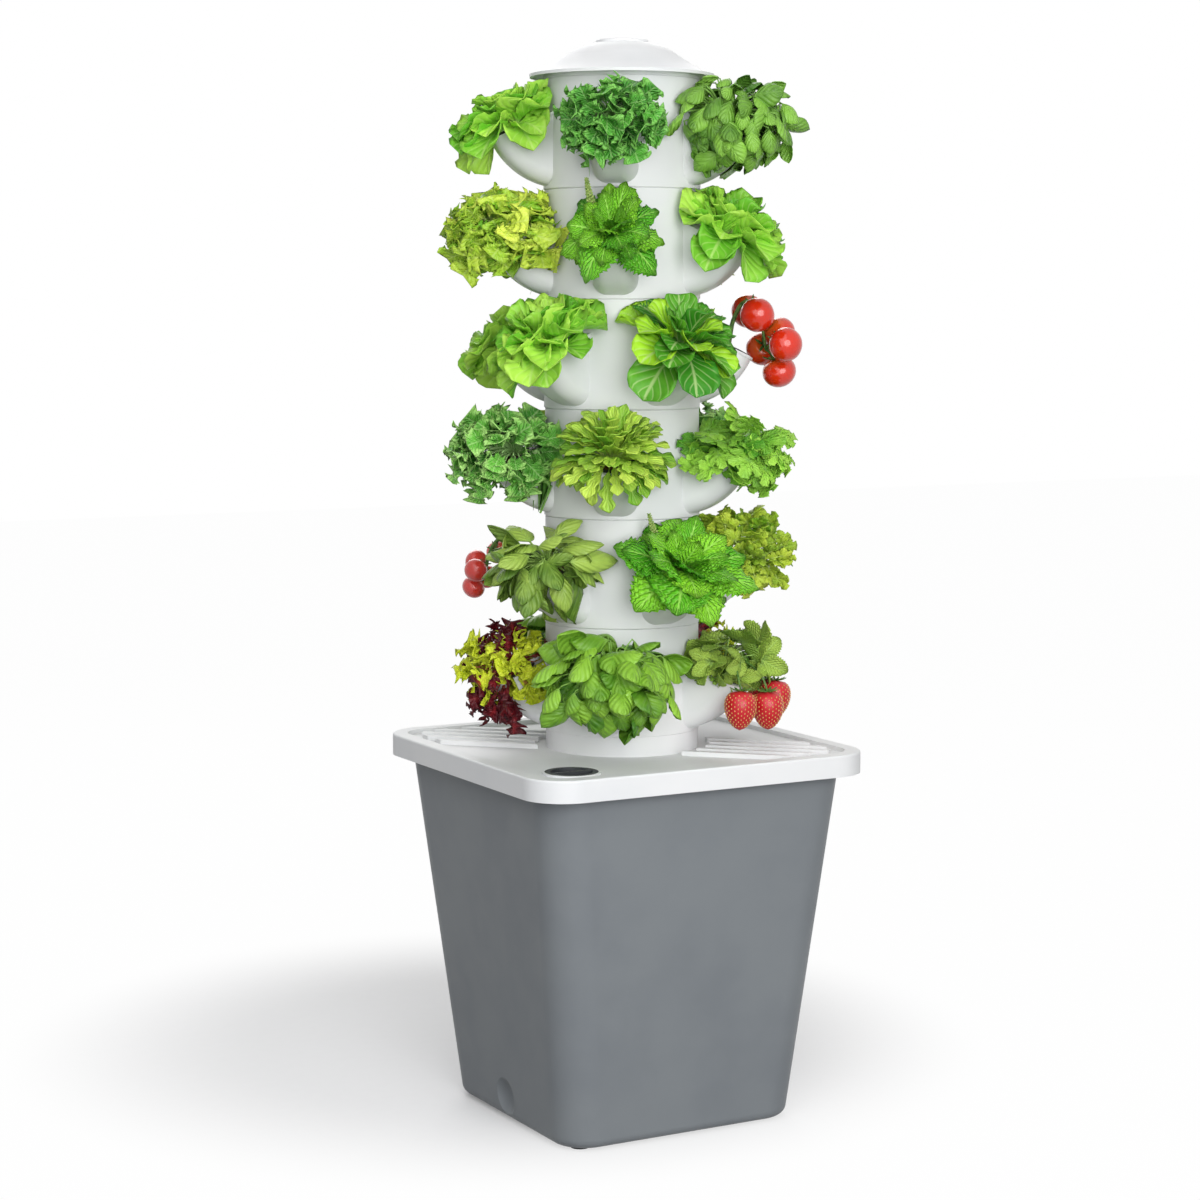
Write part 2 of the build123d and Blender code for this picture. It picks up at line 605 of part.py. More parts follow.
# Heads of leaves: tier, plant, and for each pocket that it fills: pocket, centre, spread, low and high
LEAF_HEADS = [
    (1, "lettuce", [(4, 142, 118, 16, 126), (2, 140, 112, 18, 124)]),
    (1, "kale", [(0, 138, 128, 14, 126), (3, 138, 120, 16, 122)]),
    (1, "basil", [(1, 138, 148, 16, 126)]),
    (2, "frilly_lettuce", [(4, 140, 152, 12, 133), (2, 140, 130, 14, 132)]),
    (2, "mint", [(0, 138, 116, 16, 130), (3, 138, 112, 18, 128)]),
    (2, "butter_lettuce", [(1, 140, 126, 18, 133)]),
    (3, "lettuce", [(4, 138, 134, 14, 133), (3, 140, 120, 18, 130)]),
    (3, "pak_choi", [(0, 138, 144, 12, 133), (2, 138, 130, 14, 132)]),
    (4, "curly_kale", [(4, 140, 138, 12, 133), (2, 140, 126, 16, 132)]),
    (4, "rocket", [(0, 138, 142, 14, 133), (3, 138, 128, 16, 132)]),
    (4, "parsley", [(1, 142, 138, 24, 133)]),
    (5, "basil", [(4, 138, 150, 20, 130), (2, 138, 132, 24, 128)]),
    (5, "mint", [(0, 138, 144, 12, 133)]),
    (5, "coriander", [(1, 142, 142, 22, 133)]),
    (6, "red_lettuce", [(4, 140, 120, -6, 131), (2, 140, 116, 2, 130)]),
    (6, "basil", [(0, 134, 164, 4, 133), (3, 138, 132, 4, 132)]),
]
STRAWBERRY_LEAVES = (140, 122, 46, 133)
TOMATO_RADIUS = 20
TOMATOES = [(152, -34, 106), (158, 26, 110), (188, 0, 84), (184, -42, 72), (180, 40, 66), (187, -6, 40)]
CHERRY_RADIUS = 14
CHERRIES = [(172, -26, 72), (190, -4, 62), (178, 22, 54), (186, -24, 42), (190, 4, 32)]
STRAWBERRY_LENGTH = 40
STRAWBERRIES = [(168, -46, 56), (184, -12, 52), (180, 22, 60), (158, 50, 56)]


def tier_place(tier, pocket=0):
    turn = COLUMN_TURN - 90 + pocket * 360 / POCKET_COUNT
    if tier in STAGGERED_TIERS:
        turn += 180 / POCKET_COUNT
    return Pos(0, 0, Z_SOCKET + (TIER_COUNT - tier) * TIER_HEIGHT) * Rot(0, 0, turn)


def plants():
    nodes = {}
    for tier, plant, heads in LEAF_HEADS:
        nodes[f"tier_{tier}_{plant}"] = [tier_place(tier, head[0]) * leaf_head(*head[1:]) for head in heads]
    nodes["tier_3_tomatoes"] = [tier_place(3, 1) * fruit_truss(TOMATO_RADIUS, TOMATOES)]
    nodes["tier_5_cherry_tomatoes"] = [tier_place(5, 3) * fruit_truss(CHERRY_RADIUS, CHERRIES)]
    nodes["tier_6_strawberry_plant"] = [tier_place(6, 1) * strawberry_plant(*STRAWBERRY_LEAVES)]
    return nodes


def column():
    nodes = {}
    body = tier_body()
    pockets = ring_of(tier_pocket(), POCKET_COUNT)
    cups = ring_of(net_cup(), POCKET_COUNT)
    plugs = ring_of(grow_plug(), POCKET_COUNT)
    for tier in range(1, TIER_COUNT + 1):
        place = tier_place(tier)
        nodes[f"tier_{tier}_body"] = [place * body]
        nodes[f"tier_{tier}_pockets"] = [place * pocket for pocket in pockets]
        nodes[f"tier_{tier}_net_cups"] = [place * cup for cup in cups]
        nodes[f"tier_{tier}_grow_plugs"] = [place * plug for plug in plugs]
    return nodes


def fixed_pieces():
    makers = [reservoir_tub, reservoir_lid, fill_cap, tower_socket, tower_cap, pump_housing, pump_strainer]
    makers += [pump_impeller, impeller_shaft, flow_dial, pump_outlet, riser_coupler]
    makers += [spray_head, drip_tray]
    nodes = {maker.__name__: [maker()] for maker in makers}
    nodes["tub_feet"] = tub_feet()
    nodes["riser_pipes"] = riser_pipes()
    nodes["pump_suction_cups"] = pump_suction_cups()
    return nodes


def write_parts():
    os.makedirs("parts", exist_ok=True)
    for name, solids in {**fixed_pieces(), **column(), **plants()}.items():
        pieces = [solid for piece in solids for solid in piece.solids()]
        export_step(Compound(children=pieces), f"parts/{name}.step")


write_parts()
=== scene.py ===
# %% [markdown]
# A planted tower garden. A square grey water tub carries a white lid, six white tiers with five pockets
# each, and a domed cap. Salads, herbs, tomatoes and strawberries grow out of the pockets. The plastic
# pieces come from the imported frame, whose shapes are right already, so they only need finishes. The
# plants are soft, so this lesson grows them leaf by leaf in the room that their plain solids hold.

# %% Load the frame
import json
from math import cos, pi, radians, sin

import bpy
import numpy as np
from mathutils import Matrix, Vector

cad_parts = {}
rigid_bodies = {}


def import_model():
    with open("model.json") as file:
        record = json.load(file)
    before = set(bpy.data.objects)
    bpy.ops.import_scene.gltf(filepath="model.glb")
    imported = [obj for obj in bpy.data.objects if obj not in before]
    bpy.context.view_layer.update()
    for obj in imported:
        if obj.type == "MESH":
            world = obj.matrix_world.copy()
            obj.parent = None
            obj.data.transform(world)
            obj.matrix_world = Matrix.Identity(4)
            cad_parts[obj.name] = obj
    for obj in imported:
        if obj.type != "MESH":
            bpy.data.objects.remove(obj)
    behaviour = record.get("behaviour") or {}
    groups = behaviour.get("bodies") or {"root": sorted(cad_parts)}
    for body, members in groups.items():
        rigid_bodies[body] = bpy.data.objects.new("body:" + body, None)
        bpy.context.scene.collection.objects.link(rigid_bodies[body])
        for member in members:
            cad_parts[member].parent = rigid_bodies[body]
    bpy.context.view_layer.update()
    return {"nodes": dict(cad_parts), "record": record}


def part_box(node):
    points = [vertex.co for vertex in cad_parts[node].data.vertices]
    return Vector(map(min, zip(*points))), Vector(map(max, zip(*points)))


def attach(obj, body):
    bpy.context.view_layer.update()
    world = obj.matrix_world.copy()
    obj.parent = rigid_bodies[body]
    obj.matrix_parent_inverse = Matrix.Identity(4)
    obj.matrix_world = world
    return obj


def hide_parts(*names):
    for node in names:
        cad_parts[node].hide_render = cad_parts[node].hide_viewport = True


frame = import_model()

NODES = frame["nodes"]

# %% [markdown]
# The camera stands level with the upper half of the column, to the left of the lighter face, about three
# metres off, and looks down a little. A long lens keeps the upright edges nearly parallel. A small
# sideways shift puts the column where it is in the picture, a little right of the middle.

# %% Camera
CAMERA_TURN = radians(-29.08)
CAMERA_AWAY = 3.155
CAMERA_HEIGHT = 0.9421
CAMERA_TILT = radians(6.16)
LENS = 81.8
SENSOR_WIDTH = 36
FRAMING_SHIFT = -0.0183

eye = bpy.data.cameras.new("camera")
eye.lens = LENS
eye.sensor_width = SENSOR_WIDTH
eye.shift_x = FRAMING_SHIFT
camera = bpy.data.objects.new("camera", eye)
camera.location = (CAMERA_AWAY * sin(CAMERA_TURN), -CAMERA_AWAY * cos(CAMERA_TURN), CAMERA_HEIGHT)
camera.rotation_euler = (pi / 2 - CAMERA_TILT, 0, CAMERA_TURN)
bpy.context.scene.collection.objects.link(camera)
bpy.context.scene.camera = camera
bpy.context.scene.view_settings.view_transform = "Standard"
print("camera at", [round(v, 3) for v in camera.location])

# %% [markdown]
# A finish is a small network of nodes. Written by hand, its sums are long, so a socket is wrapped in a
# class that understands + - * and abs, and adds the Math nodes itself. Every other node comes from one
# method, which takes the node's type, its settings and the values or links of its sockets.

# %% Sums on sockets


class Value:
    """A socket of a finish that can be used in Python sums."""

    def __init__(self, finish, socket):
        self.finish = finish
        self.socket = socket

    def math(self, operation, first, second=0.0):
        return self.finish.node("ShaderNodeMath", {"operation": operation}, {0: first, 1: second})

    def __add__(self, other):
        return self.math("ADD", self, other)

    def __sub__(self, other):
        return self.math("SUBTRACT", self, other)

    def __rsub__(self, other):
        return self.math("SUBTRACT", other, self)

    def __mul__(self, other):
        return self.math("MULTIPLY", self, other)

    def __abs__(self):
        return self.math("ABSOLUTE", self)

    __radd__ = __add__
    __rmul__ = __mul__

    def least(self, other):
        return self.math("MINIMUM", self, other)

    def most(self, other):
        return self.math("MAXIMUM", self, other)

    def part(self):
        """What is left after the whole number is taken off."""
        return self.math("FRACT", self)

    def band(self, low, high):
        """0 below low, 1 above high, smooth between."""
        sockets = {"Value": self, "From Min": low, "From Max": high}
        return self.finish.node("ShaderNodeMapRange", {"interpolation_type": "SMOOTHSTEP"}, sockets)


class Finish:
    """The nodes of a new material, or of a world that is given."""

    def __init__(self, name, world=None):
        self.material = world or bpy.data.materials.new(name)
        self.material.use_nodes = True
        self.tree = self.material.node_tree
        self.tree.nodes.clear()

    def node(self, kind, settings=None, sockets=None, out=0):
        made = self.tree.nodes.new(kind)
        for key, setting in (settings or {}).items():
            setattr(made, key, setting)
        for key, given in (sockets or {}).items():
            if isinstance(given, Value):
                self.tree.links.new(given.socket, made.inputs[key])
            else:
                made.inputs[key].default_value = given
        return Value(self, made.outputs[out]) if len(made.outputs) else made

    def place(self):
        return self.node("ShaderNodeTexCoord", out="Object")

    def flat(self, axis):
        """Across the leaf for 0, along it for 1, from the piece's own flat map."""
        spread = self.node("ShaderNodeUVMap", {"uv_map": "flat"})
        return self.node("ShaderNodeSeparateXYZ", sockets={0: spread}, out=axis)

    def attribute(self, name):
        return self.node("ShaderNodeAttribute", {"attribute_name": name}, out="Fac")

    def noise(self, scale, detail):
        sockets = {"Vector": self.place(), "Scale": scale, "Detail": detail}
        return self.node("ShaderNodeTexNoise", sockets=sockets)

    def mix(self, share, first, second):
        return self.node("ShaderNodeMix", {"data_type": "RGBA"}, {0: share, 6: first, 7: second}, out=2)

    def bump(self, height, strength, distance):
        sockets = {"Height": height, "Strength": strength, "Distance": distance}
        return self.node("ShaderNodeBump", sockets=sockets)

    def seen_directly(self):
        """1 for what the camera sees itself, in a reflection or through glass, and 0 for plain light."""
        camera_ray, glossy, through = (self.node("ShaderNodeLightPath", out="Is " + ray + " Ray")
                                       for ray in ("Camera", "Glossy", "Transmission"))
        return (camera_ray + glossy + through).least(1.0)

    def surface(self, sockets):
        shader = self.node("ShaderNodeBsdfPrincipled", sockets=sockets)
        self.node("ShaderNodeOutputMaterial", sockets={0: shader})
        return self.material


def paint(red, green, blue):
    """A colour written as on a screen, turned into the light that a shader works with."""
    screen = np.array((red, green, blue)) / 255
    light = np.where(screen <= 0.04045, screen / 12.92, ((screen + 0.055) / 1.055) ** 2.4)
    return tuple(light) + (1.0,)


# %% [markdown]
# Moulded plastic is never one flat colour. The tool leaves a faint grain, handling leaves patches that
# shine a little more or less, and dust and water marks change the tone by a few percent. The grain is a
# fine noise in the bump, the patches are a slow noise in the roughness, and the tone is a slower one in
# the colour. The list below gives each plastic's colour and shade, its roughness, the strength and scale
# of its grain and, where it isn't the usual one, its gloss.

# %% Moulded plastic finishes
TONE_SCALE = 9
HANDLED_SCALE = 34
HANDLED_SHINE = 0.16
GRAIN_DEPTH = 0.0004


def moulded(name, colour, shade, rough, grain, grain_scale, gloss=0.5):
    made = Finish(name)
    tone = made.noise(TONE_SCALE, 4)
    fine = made.noise(grain_scale, 2)
    handled = made.noise(HANDLED_SCALE, 3)
    return made.surface({
        "Base Color": made.mix(tone.band(0.35, 0.75), paint(*colour), paint(*shade)),
        "Roughness": rough + (handled - 0.5) * HANDLED_SHINE,
        "Specular IOR Level": gloss,
        "Normal": made.bump(fine, grain, GRAIN_DEPTH),
    })


PLASTICS = {
    "tub_grey": ((129, 134, 138), (122, 127, 132), 0.44, 0.22, 1500, 0.2),
    "white_plastic": ((236, 237, 238), (229, 231, 233), 0.4, 0.08, 1100, 0.25),
    "stopper_grey": ((54, 57, 60), (46, 49, 52), 0.5, 0.2, 1400),
    "foot_rubber": ((40, 41, 43), (30, 31, 33), 0.75, 0.3, 1200, 0.3),
    "pump_black": ((34, 35, 38), (26, 27, 30), 0.4, 0.25, 1300),
    "dial_orange": ((222, 112, 38), (206, 96, 30), 0.38, 0.12, 1200),
    "pipe_white": ((232, 233, 231), (222, 224, 222), 0.36, 0.1, 1000),
    "net_cup_black": ((30, 31, 33), (22, 23, 25), 0.45, 0.2, 1500),
}
FINISHES = {slot: moulded(slot, *look) for slot, look in PLASTICS.items()}
print("plastics:", ", ".join(PLASTICS))

# %% [markdown]
# Two finishes are not plain plastic. The pump's shaft is turned steel, whose tool marks are a very fine
# noise. The grow plugs are pressed fibre: brown, matt and full of strands and clumps, so two noises are
# laid over each other.

# %% Steel and fibre finishes


def turned_steel():
    made = Finish("turned_steel")
    marks = made.noise(2600, 1)
    return made.surface({
        "Base Color": made.mix(marks, paint(196, 198, 200), paint(176, 178, 181)),
        "Metallic": 1.0,
        "Roughness": 0.24 + marks * 0.14,
        "Normal": made.bump(marks, 0.1, 0.0002),
    })


def pressed_fibre():
    made = Finish("pressed_fibre")
    strands = made.noise(420, 6)
    clumps = made.noise(110, 3)
    tone = made.mix(strands.band(0.3, 0.7), paint(92, 66, 42), paint(138, 106, 72))
    return made.surface({
        "Base Color": made.mix(clumps.band(0.5, 0.8), tone, paint(70, 50, 33)),
        "Roughness": 0.94,
        "Specular IOR Level": 0.15,
        "Normal": made.bump(strands + clumps, 0.8, 0.0015),
    })


FINISHES["steel"] = turned_steel()
FINISHES["grow_plug"] = pressed_fibre()
print("finishes:", len(FINISHES))

# %% [markdown]
# Each node of the frame names the material slot it belongs to, so the finishes are handed out by slot.
# The nodes with a plant slot are left over: their plain solids are replaced further down.

# %% Hand out the finishes
SLOT_OF = {part["node"]: part["material_slot"] for part in frame["record"]["subparts"]}
dressed = 0
for name, node in NODES.items():
    finish = FINISHES.get(SLOT_OF[name])
    if finish:
        node.data.materials.clear()
        node.data.materials.append(finish)
        dressed += 1
print("dressed nodes:", dressed, "of", len(NODES))

# %% [markdown]
# Leaves come next. A leaf could be a flat picture on a card, but from the side a card looks like paper.
# Here a leaf is a thin closed shell: a grid that runs along the midrib and across the blade, with a
# second skin just under it. A width curve gives the outline, and cup, curl and ruffle give the blade its
# hollow, its bend and its waves. The two halves wave out of step, and fine waves ride on the large ones.
# The grid's own two directions are kept as a flat map, so that the finish can draw veins on it.

# %% One leaf blade
TIP_WIDTH = 0.02
LOBE_FADE = 0.3
CURL_POWER = 1.4
OTHER_HALF_PHASE = 1.9
FINE_WAVES = 2.6
FINE_SHARE = 0.5
WAVE_START = 0.02
WAVE_FADE = 0.25
CUP_FOLD = 0.25


class Form:
    """Points, faces and flat map of a shape that is still on the workbench."""

    def __init__(self, points, faces, flat):
        self.points = np.asarray(points, float)
        self.faces = faces
        self.flat = np.asarray(flat, float)

    def moved(self, matrix):
        turn = np.array(matrix.to_3x3())
        return Form(self.points @ turn.T + np.array(matrix.translation), self.faces, self.flat)


def gathered(forms):
    """Several forms as one."""
    points = np.concatenate([form.points for form in forms])
    flat = np.concatenate([form.flat for form in forms])
    faces = []
    start = 0
    for form in forms:
        faces += [tuple(start + corner for corner in face) for face in form.faces]
        start += len(form.points)
    return Form(points, faces, flat)


def shell(rows, columns):
    """Faces of a grid and its under skin, closed all round its rim."""
    step = columns + 1
    under = (rows + 1) * step
    faces = []
    for row in range(rows):
        for column in range(columns):
            a = row * step + column
            faces.append((a, a + 1, a + 1 + step, a + step))
            faces.append((under + a, under + a + step, under + a + 1 + step, under + a + 1))
    left = [row * step for row in range(rows + 1)]
    right = [row * step + columns for row in range(rows + 1)]
    near = list(range(step))
    far = [rows * step + column for column in range(step)]
    for edge, turned in ((left, True), (right, False), (near, False), (far, True)):
        for a, b in zip(edge, edge[1:]):
            face = (a, under + a, under + b, b)
            faces.append(face[::-1] if turned else face)
    return faces


def blade(length, width, belly, tip, rows=12, columns=6, cup=0.3, curl=0.8, ruffle=0.0, waves=3.0, teeth=0.0,
          lobes=0.0, lobe_depth=0.0, stalk=0.1, stalk_width=0.06, twist=0.0, thick=0.0008):
    """A leaf that grows along Y from the origin, with its upper side facing Z."""
    along = np.linspace(0, 1, rows + 1)
    across = np.linspace(-1, 1, columns + 1)
    inner = np.clip((along - stalk) / (1 - stalk), 0, 1)
    peak = belly / (belly + tip)
    half = inner ** belly * (1 - inner) ** tip / (peak ** belly * (1 - peak) ** tip)
    half *= 1 - lobe_depth * (0.5 + 0.5 * np.cos(2 * pi * lobes * inner)) * np.sin(pi * inner) ** LOBE_FADE
    half *= 1 + teeth * np.where(np.arange(rows + 1) % 2, 1.0, -1.0)
    half = np.maximum(half, stalk_width) * width / 2
    half[-1] = TIP_WIDTH * width
    bend = curl * along ** CURL_POWER
    step = length / rows
    way = np.concatenate(([0], np.cumsum(np.cos(bend[1:]) * step)))
    drop = np.concatenate(([0], np.cumsum(np.sin(bend[1:]) * step)))
    edge = np.abs(across)[None, :]
    side = np.where(across > 0, OTHER_HALF_PHASE, 0.0)[None, :]
    phase = 2 * pi * waves * inner[:, None] + side + twist
    fine = FINE_SHARE * edge ** 4 * np.sin(FINE_WAVES * phase + side)
    wave = ruffle * (edge ** 2 * np.sin(phase) + fine)
    wave *= np.sin(pi * np.clip(inner, WAVE_START, 1))[:, None] ** WAVE_FADE
    lift = cup * half[:, None] * edge ** 2 + wave
    fold = 1 - CUP_FOLD * abs(cup) * edge ** 2
    x = across[None, :] * half[:, None] * fold
    y = way[:, None] + np.sin(bend)[:, None] * lift
    z = -drop[:, None] + np.cos(bend)[:, None] * lift
    top = np.stack((x, y, z), 2).reshape(-1, 3)
    down = np.stack((0 * bend, np.sin(bend), np.cos(bend)), 1) * thick
    low = top - np.repeat(down, columns + 1, 0)
    u, v = np.meshgrid((across + 1) / 2, along)
    flat = np.stack((u.ravel(), v.ravel()), 1)
    return Form(np.concatenate((top, low)), shell(rows, columns), np.concatenate((flat, flat)))


# %% [markdown]
# Stalks and stems are thin closed tubes that taper along a bend. Parsley, coriander and strawberry leaves
# are compound: a few leaflets on one stalk. Each is put together from blades and a stem, once, and copied
# afterwards.

# %% Stems and compound leaves
STEM_SIDES = 5
STEM_SIDEWAYS = (0.31, 0.17, 0.93)
STALK_ON_MAP = (0.5, 0.04)
STALK_RADIUS = 0.0011
STALK_TAPER = 0.6
LEAFLET_DROOP = 1.2
LEAFLET_UPPER = (0, 0.15, 1)


def facing(aim, upper):
    """A turn that sends a leaf's length along aim and its upper side towards upper."""
    length = Vector(aim).normalized()
    up = Vector(upper)
    up = (up - up.dot(length) * length).normalized()
    return Matrix((length.cross(up), length, up)).transposed().to_4x4()


def stem(points, thick, thin):
    """A closed round stem through the points, tapering from thick to thin."""
    points = np.asarray(points, float)
    count = len(points)
    made = []
    for index, point in enumerate(points):
        way = points[min(index + 1, count - 1)] - points[max(index - 1, 0)]
        turn = facing(way, STEM_SIDEWAYS)
        radius = thick + (thin - thick) * index / (count - 1)
        for side in range(STEM_SIDES):
            angle = 2 * pi * side / STEM_SIDES
            made.append(point + np.array(turn @ Vector((radius * cos(angle), 0, radius * sin(angle)))))
    last = (count - 1) * STEM_SIDES
    faces = [tuple(range(STEM_SIDES)), tuple(range(last, last + STEM_SIDES))[::-1]]
    for index in range(count - 1):
        for side in range(STEM_SIDES):
            a = index * STEM_SIDES + side
            b = index * STEM_SIDES + (side + 1) % STEM_SIDES
            faces.append((a + STEM_SIDES, b + STEM_SIDES, b, a))
    return Form(made, faces, np.tile(STALK_ON_MAP, (len(made), 1)))


def bent(start, middle, end, steps=8):
    """Points on a smooth bend between two ends."""
    share = np.linspace(0, 1, steps)[:, None]
    start, middle, end = (np.array(point, float) for point in (start, middle, end))
    return (1 - share) ** 2 * start + 2 * share * (1 - share) * middle + share ** 2 * end


def compound(leaflet, stalk_length, places, droop):
    """A stalk along Y with leaflets at given (share of stalk, angle, size)."""
    share = np.linspace(0, 1, 6)
    path = np.stack((0 * share, stalk_length * share, -droop * stalk_length * share ** 2), 1)
    forms = [stem(path, STALK_RADIUS, STALK_RADIUS * STALK_TAPER)]
    for part, angle, size in places:
        spot = Vector((0, stalk_length * part, -droop * stalk_length * part ** 2))
        aim = Vector((sin(radians(angle)), cos(radians(angle)), -droop * LEAFLET_DROOP))
        matrix = Matrix.Translation(spot) @ facing(aim, LEAFLET_UPPER) @ Matrix.Scale(size, 4)
        forms.append(leaflet.moved(matrix))
    return gathered(forms)


# %% [markdown]
# A crown is many copies of a few leaves, and that is what Geometry Nodes are for. The script lays out
# points with a turn, a size, a tint and a choice of leaf, and one tree sets a leaf on each point, makes
# the copies real and gives them their finish. The tint stays with each leaf, so that no two have quite
# the same green. In a bush the tint also carries painted shade, a darker green for the leaves deep inside.

# %% The tree that sets leaves on points


def foliage_tree():
    tree = bpy.data.node_groups.new("set_leaves_on_points", "GeometryNodeTree")
    inlets = {"Points": "Geometry", "Leaves": "Collection", "Leaf size": "Float", "Finish": "Material"}
    for name, kind in inlets.items():
        tree.interface.new_socket(name, in_out="INPUT", socket_type="NodeSocket" + kind)
    tree.interface.new_socket("Crown", in_out="OUTPUT", socket_type="NodeSocketGeometry")

    def node(kind, sockets=None, **settings):
        made = tree.nodes.new(kind)
        for key, setting in settings.items():
            setattr(made, key, setting)
        for key, given in (sockets or {}).items():
            if hasattr(given, "is_output"):
                tree.links.new(given, made.inputs[key])
            else:
                made.inputs[key].default_value = given
        return made.outputs

    def stored(name, kind):
        return node("GeometryNodeInputNamedAttribute", {"Name": name}, data_type=kind)[0]

    start = node("NodeGroupInput")
    leaves = node("GeometryNodeCollectionInfo", {
        "Collection": start["Leaves"], "Separate Children": True, "Reset Children": True,
    })
    size = node("ShaderNodeMath", {0: stored("size", "FLOAT"), 1: start["Leaf size"]}, operation="MULTIPLY")
    turn = node("FunctionNodeEulerToRotation", {0: stored("turn", "FLOAT_VECTOR")})
    grown = node("GeometryNodeInstanceOnPoints", {
        "Points": start["Points"], "Instance": leaves[0], "Pick Instance": True,
        "Instance Index": stored("pick", "INT"), "Rotation": turn[0], "Scale": size[0],
    })
    real = node("GeometryNodeRealizeInstances", {0: grown[0]})
    smooth = node("GeometryNodeSetShadeSmooth", {0: real[0]})
    finished = node("GeometryNodeSetMaterial", {0: smooth[0], "Material": start["Finish"]})
    node("NodeGroupOutput", {"Crown": finished[0]})
    return tree


FOLIAGE = foliage_tree()
INLET = {item.name: item.identifier for item in FOLIAGE.interface.items_tree if item.in_out == "INPUT"}
print("foliage inputs:", INLET)

# %% [markdown]
# Two helpers close the gap between numbers and objects. One turns a form into a mesh with its flat map.
# The other puts the leaves on a shelf, hands the points to the tree and takes the finished crown back as
# one plain mesh. The leaves are made at their real size, so the tree's own leaf size is 1.

# %% Forms and points become objects
LEAF_SIZE = 1.0


def as_mesh(name, form):
    mesh = bpy.data.meshes.new(name)
    mesh.from_pydata(form.points.tolist(), [], form.faces)
    corners = np.zeros(len(mesh.loops), int)
    mesh.loops.foreach_get("vertex_index", corners)
    spread = mesh.uv_layers.new(name="flat")
    spread.data.foreach_set("uv", form.flat[corners].astype(np.float32).ravel())
    mesh.update()
    return mesh


def crown_mesh(name, sprouts, leaves, finish):
    """Sets the leaves on the sprouts through the tree and returns one plain mesh."""
    shelf = bpy.data.collections.new(name + "_leaves")
    for index, leaf in enumerate(leaves):
        mesh = as_mesh(f"{name}_leaf_{index}", leaf)
        shelf.objects.link(bpy.data.objects.new(f"{name}_leaf_{index}", mesh))
    mesh = bpy.data.meshes.new(name + "_points")
    mesh.from_pydata([tuple(spot["at"]) for spot in sprouts], [], [])
    turns = [value for spot in sprouts for value in facing(spot["aim"], spot["upper"]).to_euler()]
    mesh.attributes.new("turn", "FLOAT_VECTOR", "POINT").data.foreach_set("vector", turns)
    for key, kind in (("size", "FLOAT"), ("tint", "FLOAT"), ("pick", "INT")):
        mesh.attributes.new(key, kind, "POINT").data.foreach_set("value", [spot[key] for spot in sprouts])
    seat = bpy.data.objects.new(name + "_points", mesh)
    bpy.context.scene.collection.objects.link(seat)
    grow = seat.modifiers.new("grow", "NODES")
    grow.node_group = FOLIAGE
    grow[INLET["Leaves"]] = shelf
    grow[INLET["Leaf size"]] = LEAF_SIZE
    grow[INLET["Finish"]] = finish
    depsgraph = bpy.context.evaluated_depsgraph_get()
    made = bpy.data.meshes.new_from_object(seat.evaluated_get(depsgraph))
    made.name = name
    bpy.data.objects.remove(seat)
    for leaf in list(shelf.objects):
        bpy.data.objects.remove(leaf)
    bpy.data.collections.remove(shelf)
    return made


# %% [markdown]
# Each tier has five pockets a fifth of a turn apart. The tiers are set at two turns, so that plants do
# not stand straight over each other. A crown is laid out in its pocket's own directions: out from the
# column, sideways, and up from the tier's foot. One matrix then carries it to its place on the tower. The
# frame itself says how high each tier stands.

# %% Where the pockets are
TIERS = 6
COLUMN_TURN = -34
POCKET_STEP = 72
STAGGERED_TIERS = (3, 5)
ROOT = Vector((0.127, 0, 0.072))
TIER_FOOT = {tier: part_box(f"tier_{tier}_body")[0].z for tier in range(1, TIERS + 1)}
TIER_HEIGHT = TIER_FOOT[1] - TIER_FOOT[2]
print("tiers of", round(TIER_HEIGHT, 4), "m from", round(TIER_FOOT[TIERS], 4), "m up")


def pocket_place(tier, pocket):
    turn = COLUMN_TURN - 90 + POCKET_STEP * pocket + POCKET_STEP / 2 * (tier in STAGGERED_TIERS)
    return Matrix.Translation((0, 0, TIER_FOOT[tier])) @ Matrix.Rotation(radians(turn), 4, "Z")


# %% [markdown]
# A plant gives way to the tower: no leaf goes through the column or the wall of its pocket. The column is
# a cylinder and the pocket's belly is an arc, so both can be cleared by moving points straight out of
# them. Each crown is also stretched a little about its root, to fill the room that its solid has in the
# frame. The tier above turns, so leaf tips are pressed down softly to stay under the path of its pockets.

# %% Keep a crown in its room
COLUMN_CLEAR = 0.0935
ELBOW_OUT = 0.0675
ELBOW_UP = 0.0946
ELBOW_CLEAR = 0.0960
POCKET_HALF = 0.0285
MOUTH_TILT = radians(24.57)
MOUTH_OUT = 0.127
MOUTH_UP = 0.0690
SWEEP_GAP = 0.001
SOFT_ROOM = 0.006
NEAR_AXIS = 0.01
LEAST_REACH = 0.001


def clear_of_plastic(points):
    """Moves points out of the column and out of their own pocket."""
    away = np.hypot(points[:, 0], points[:, 1])
    points[:, :2] *= np.maximum(COLUMN_CLEAR / np.maximum(away, NEAR_AXIS), 1)[:, None]
    out, side, up = points.T
    above = (out - MOUTH_OUT) * sin(MOUTH_TILT) + (up - MOUTH_UP) * cos(MOUTH_TILT)
    reach = np.hypot(out - ELBOW_OUT, up - ELBOW_UP)
    inside = (np.abs(side) < POCKET_HALF) & (above < 0) & (reach < ELBOW_CLEAR) & (up < ELBOW_UP)
    lift = inside & (-above < ELBOW_CLEAR - reach)
    push = inside & ~lift
    points[lift, 0] -= above[lift] * sin(MOUTH_TILT)
    points[lift, 2] -= above[lift] * cos(MOUTH_TILT)
    grow = ELBOW_CLEAR / reach[push]
    points[push, 0] = ELBOW_OUT + (out[push] - ELBOW_OUT) * grow
    points[push, 2] = ELBOW_UP + (up[push] - ELBOW_UP) * grow
    return points


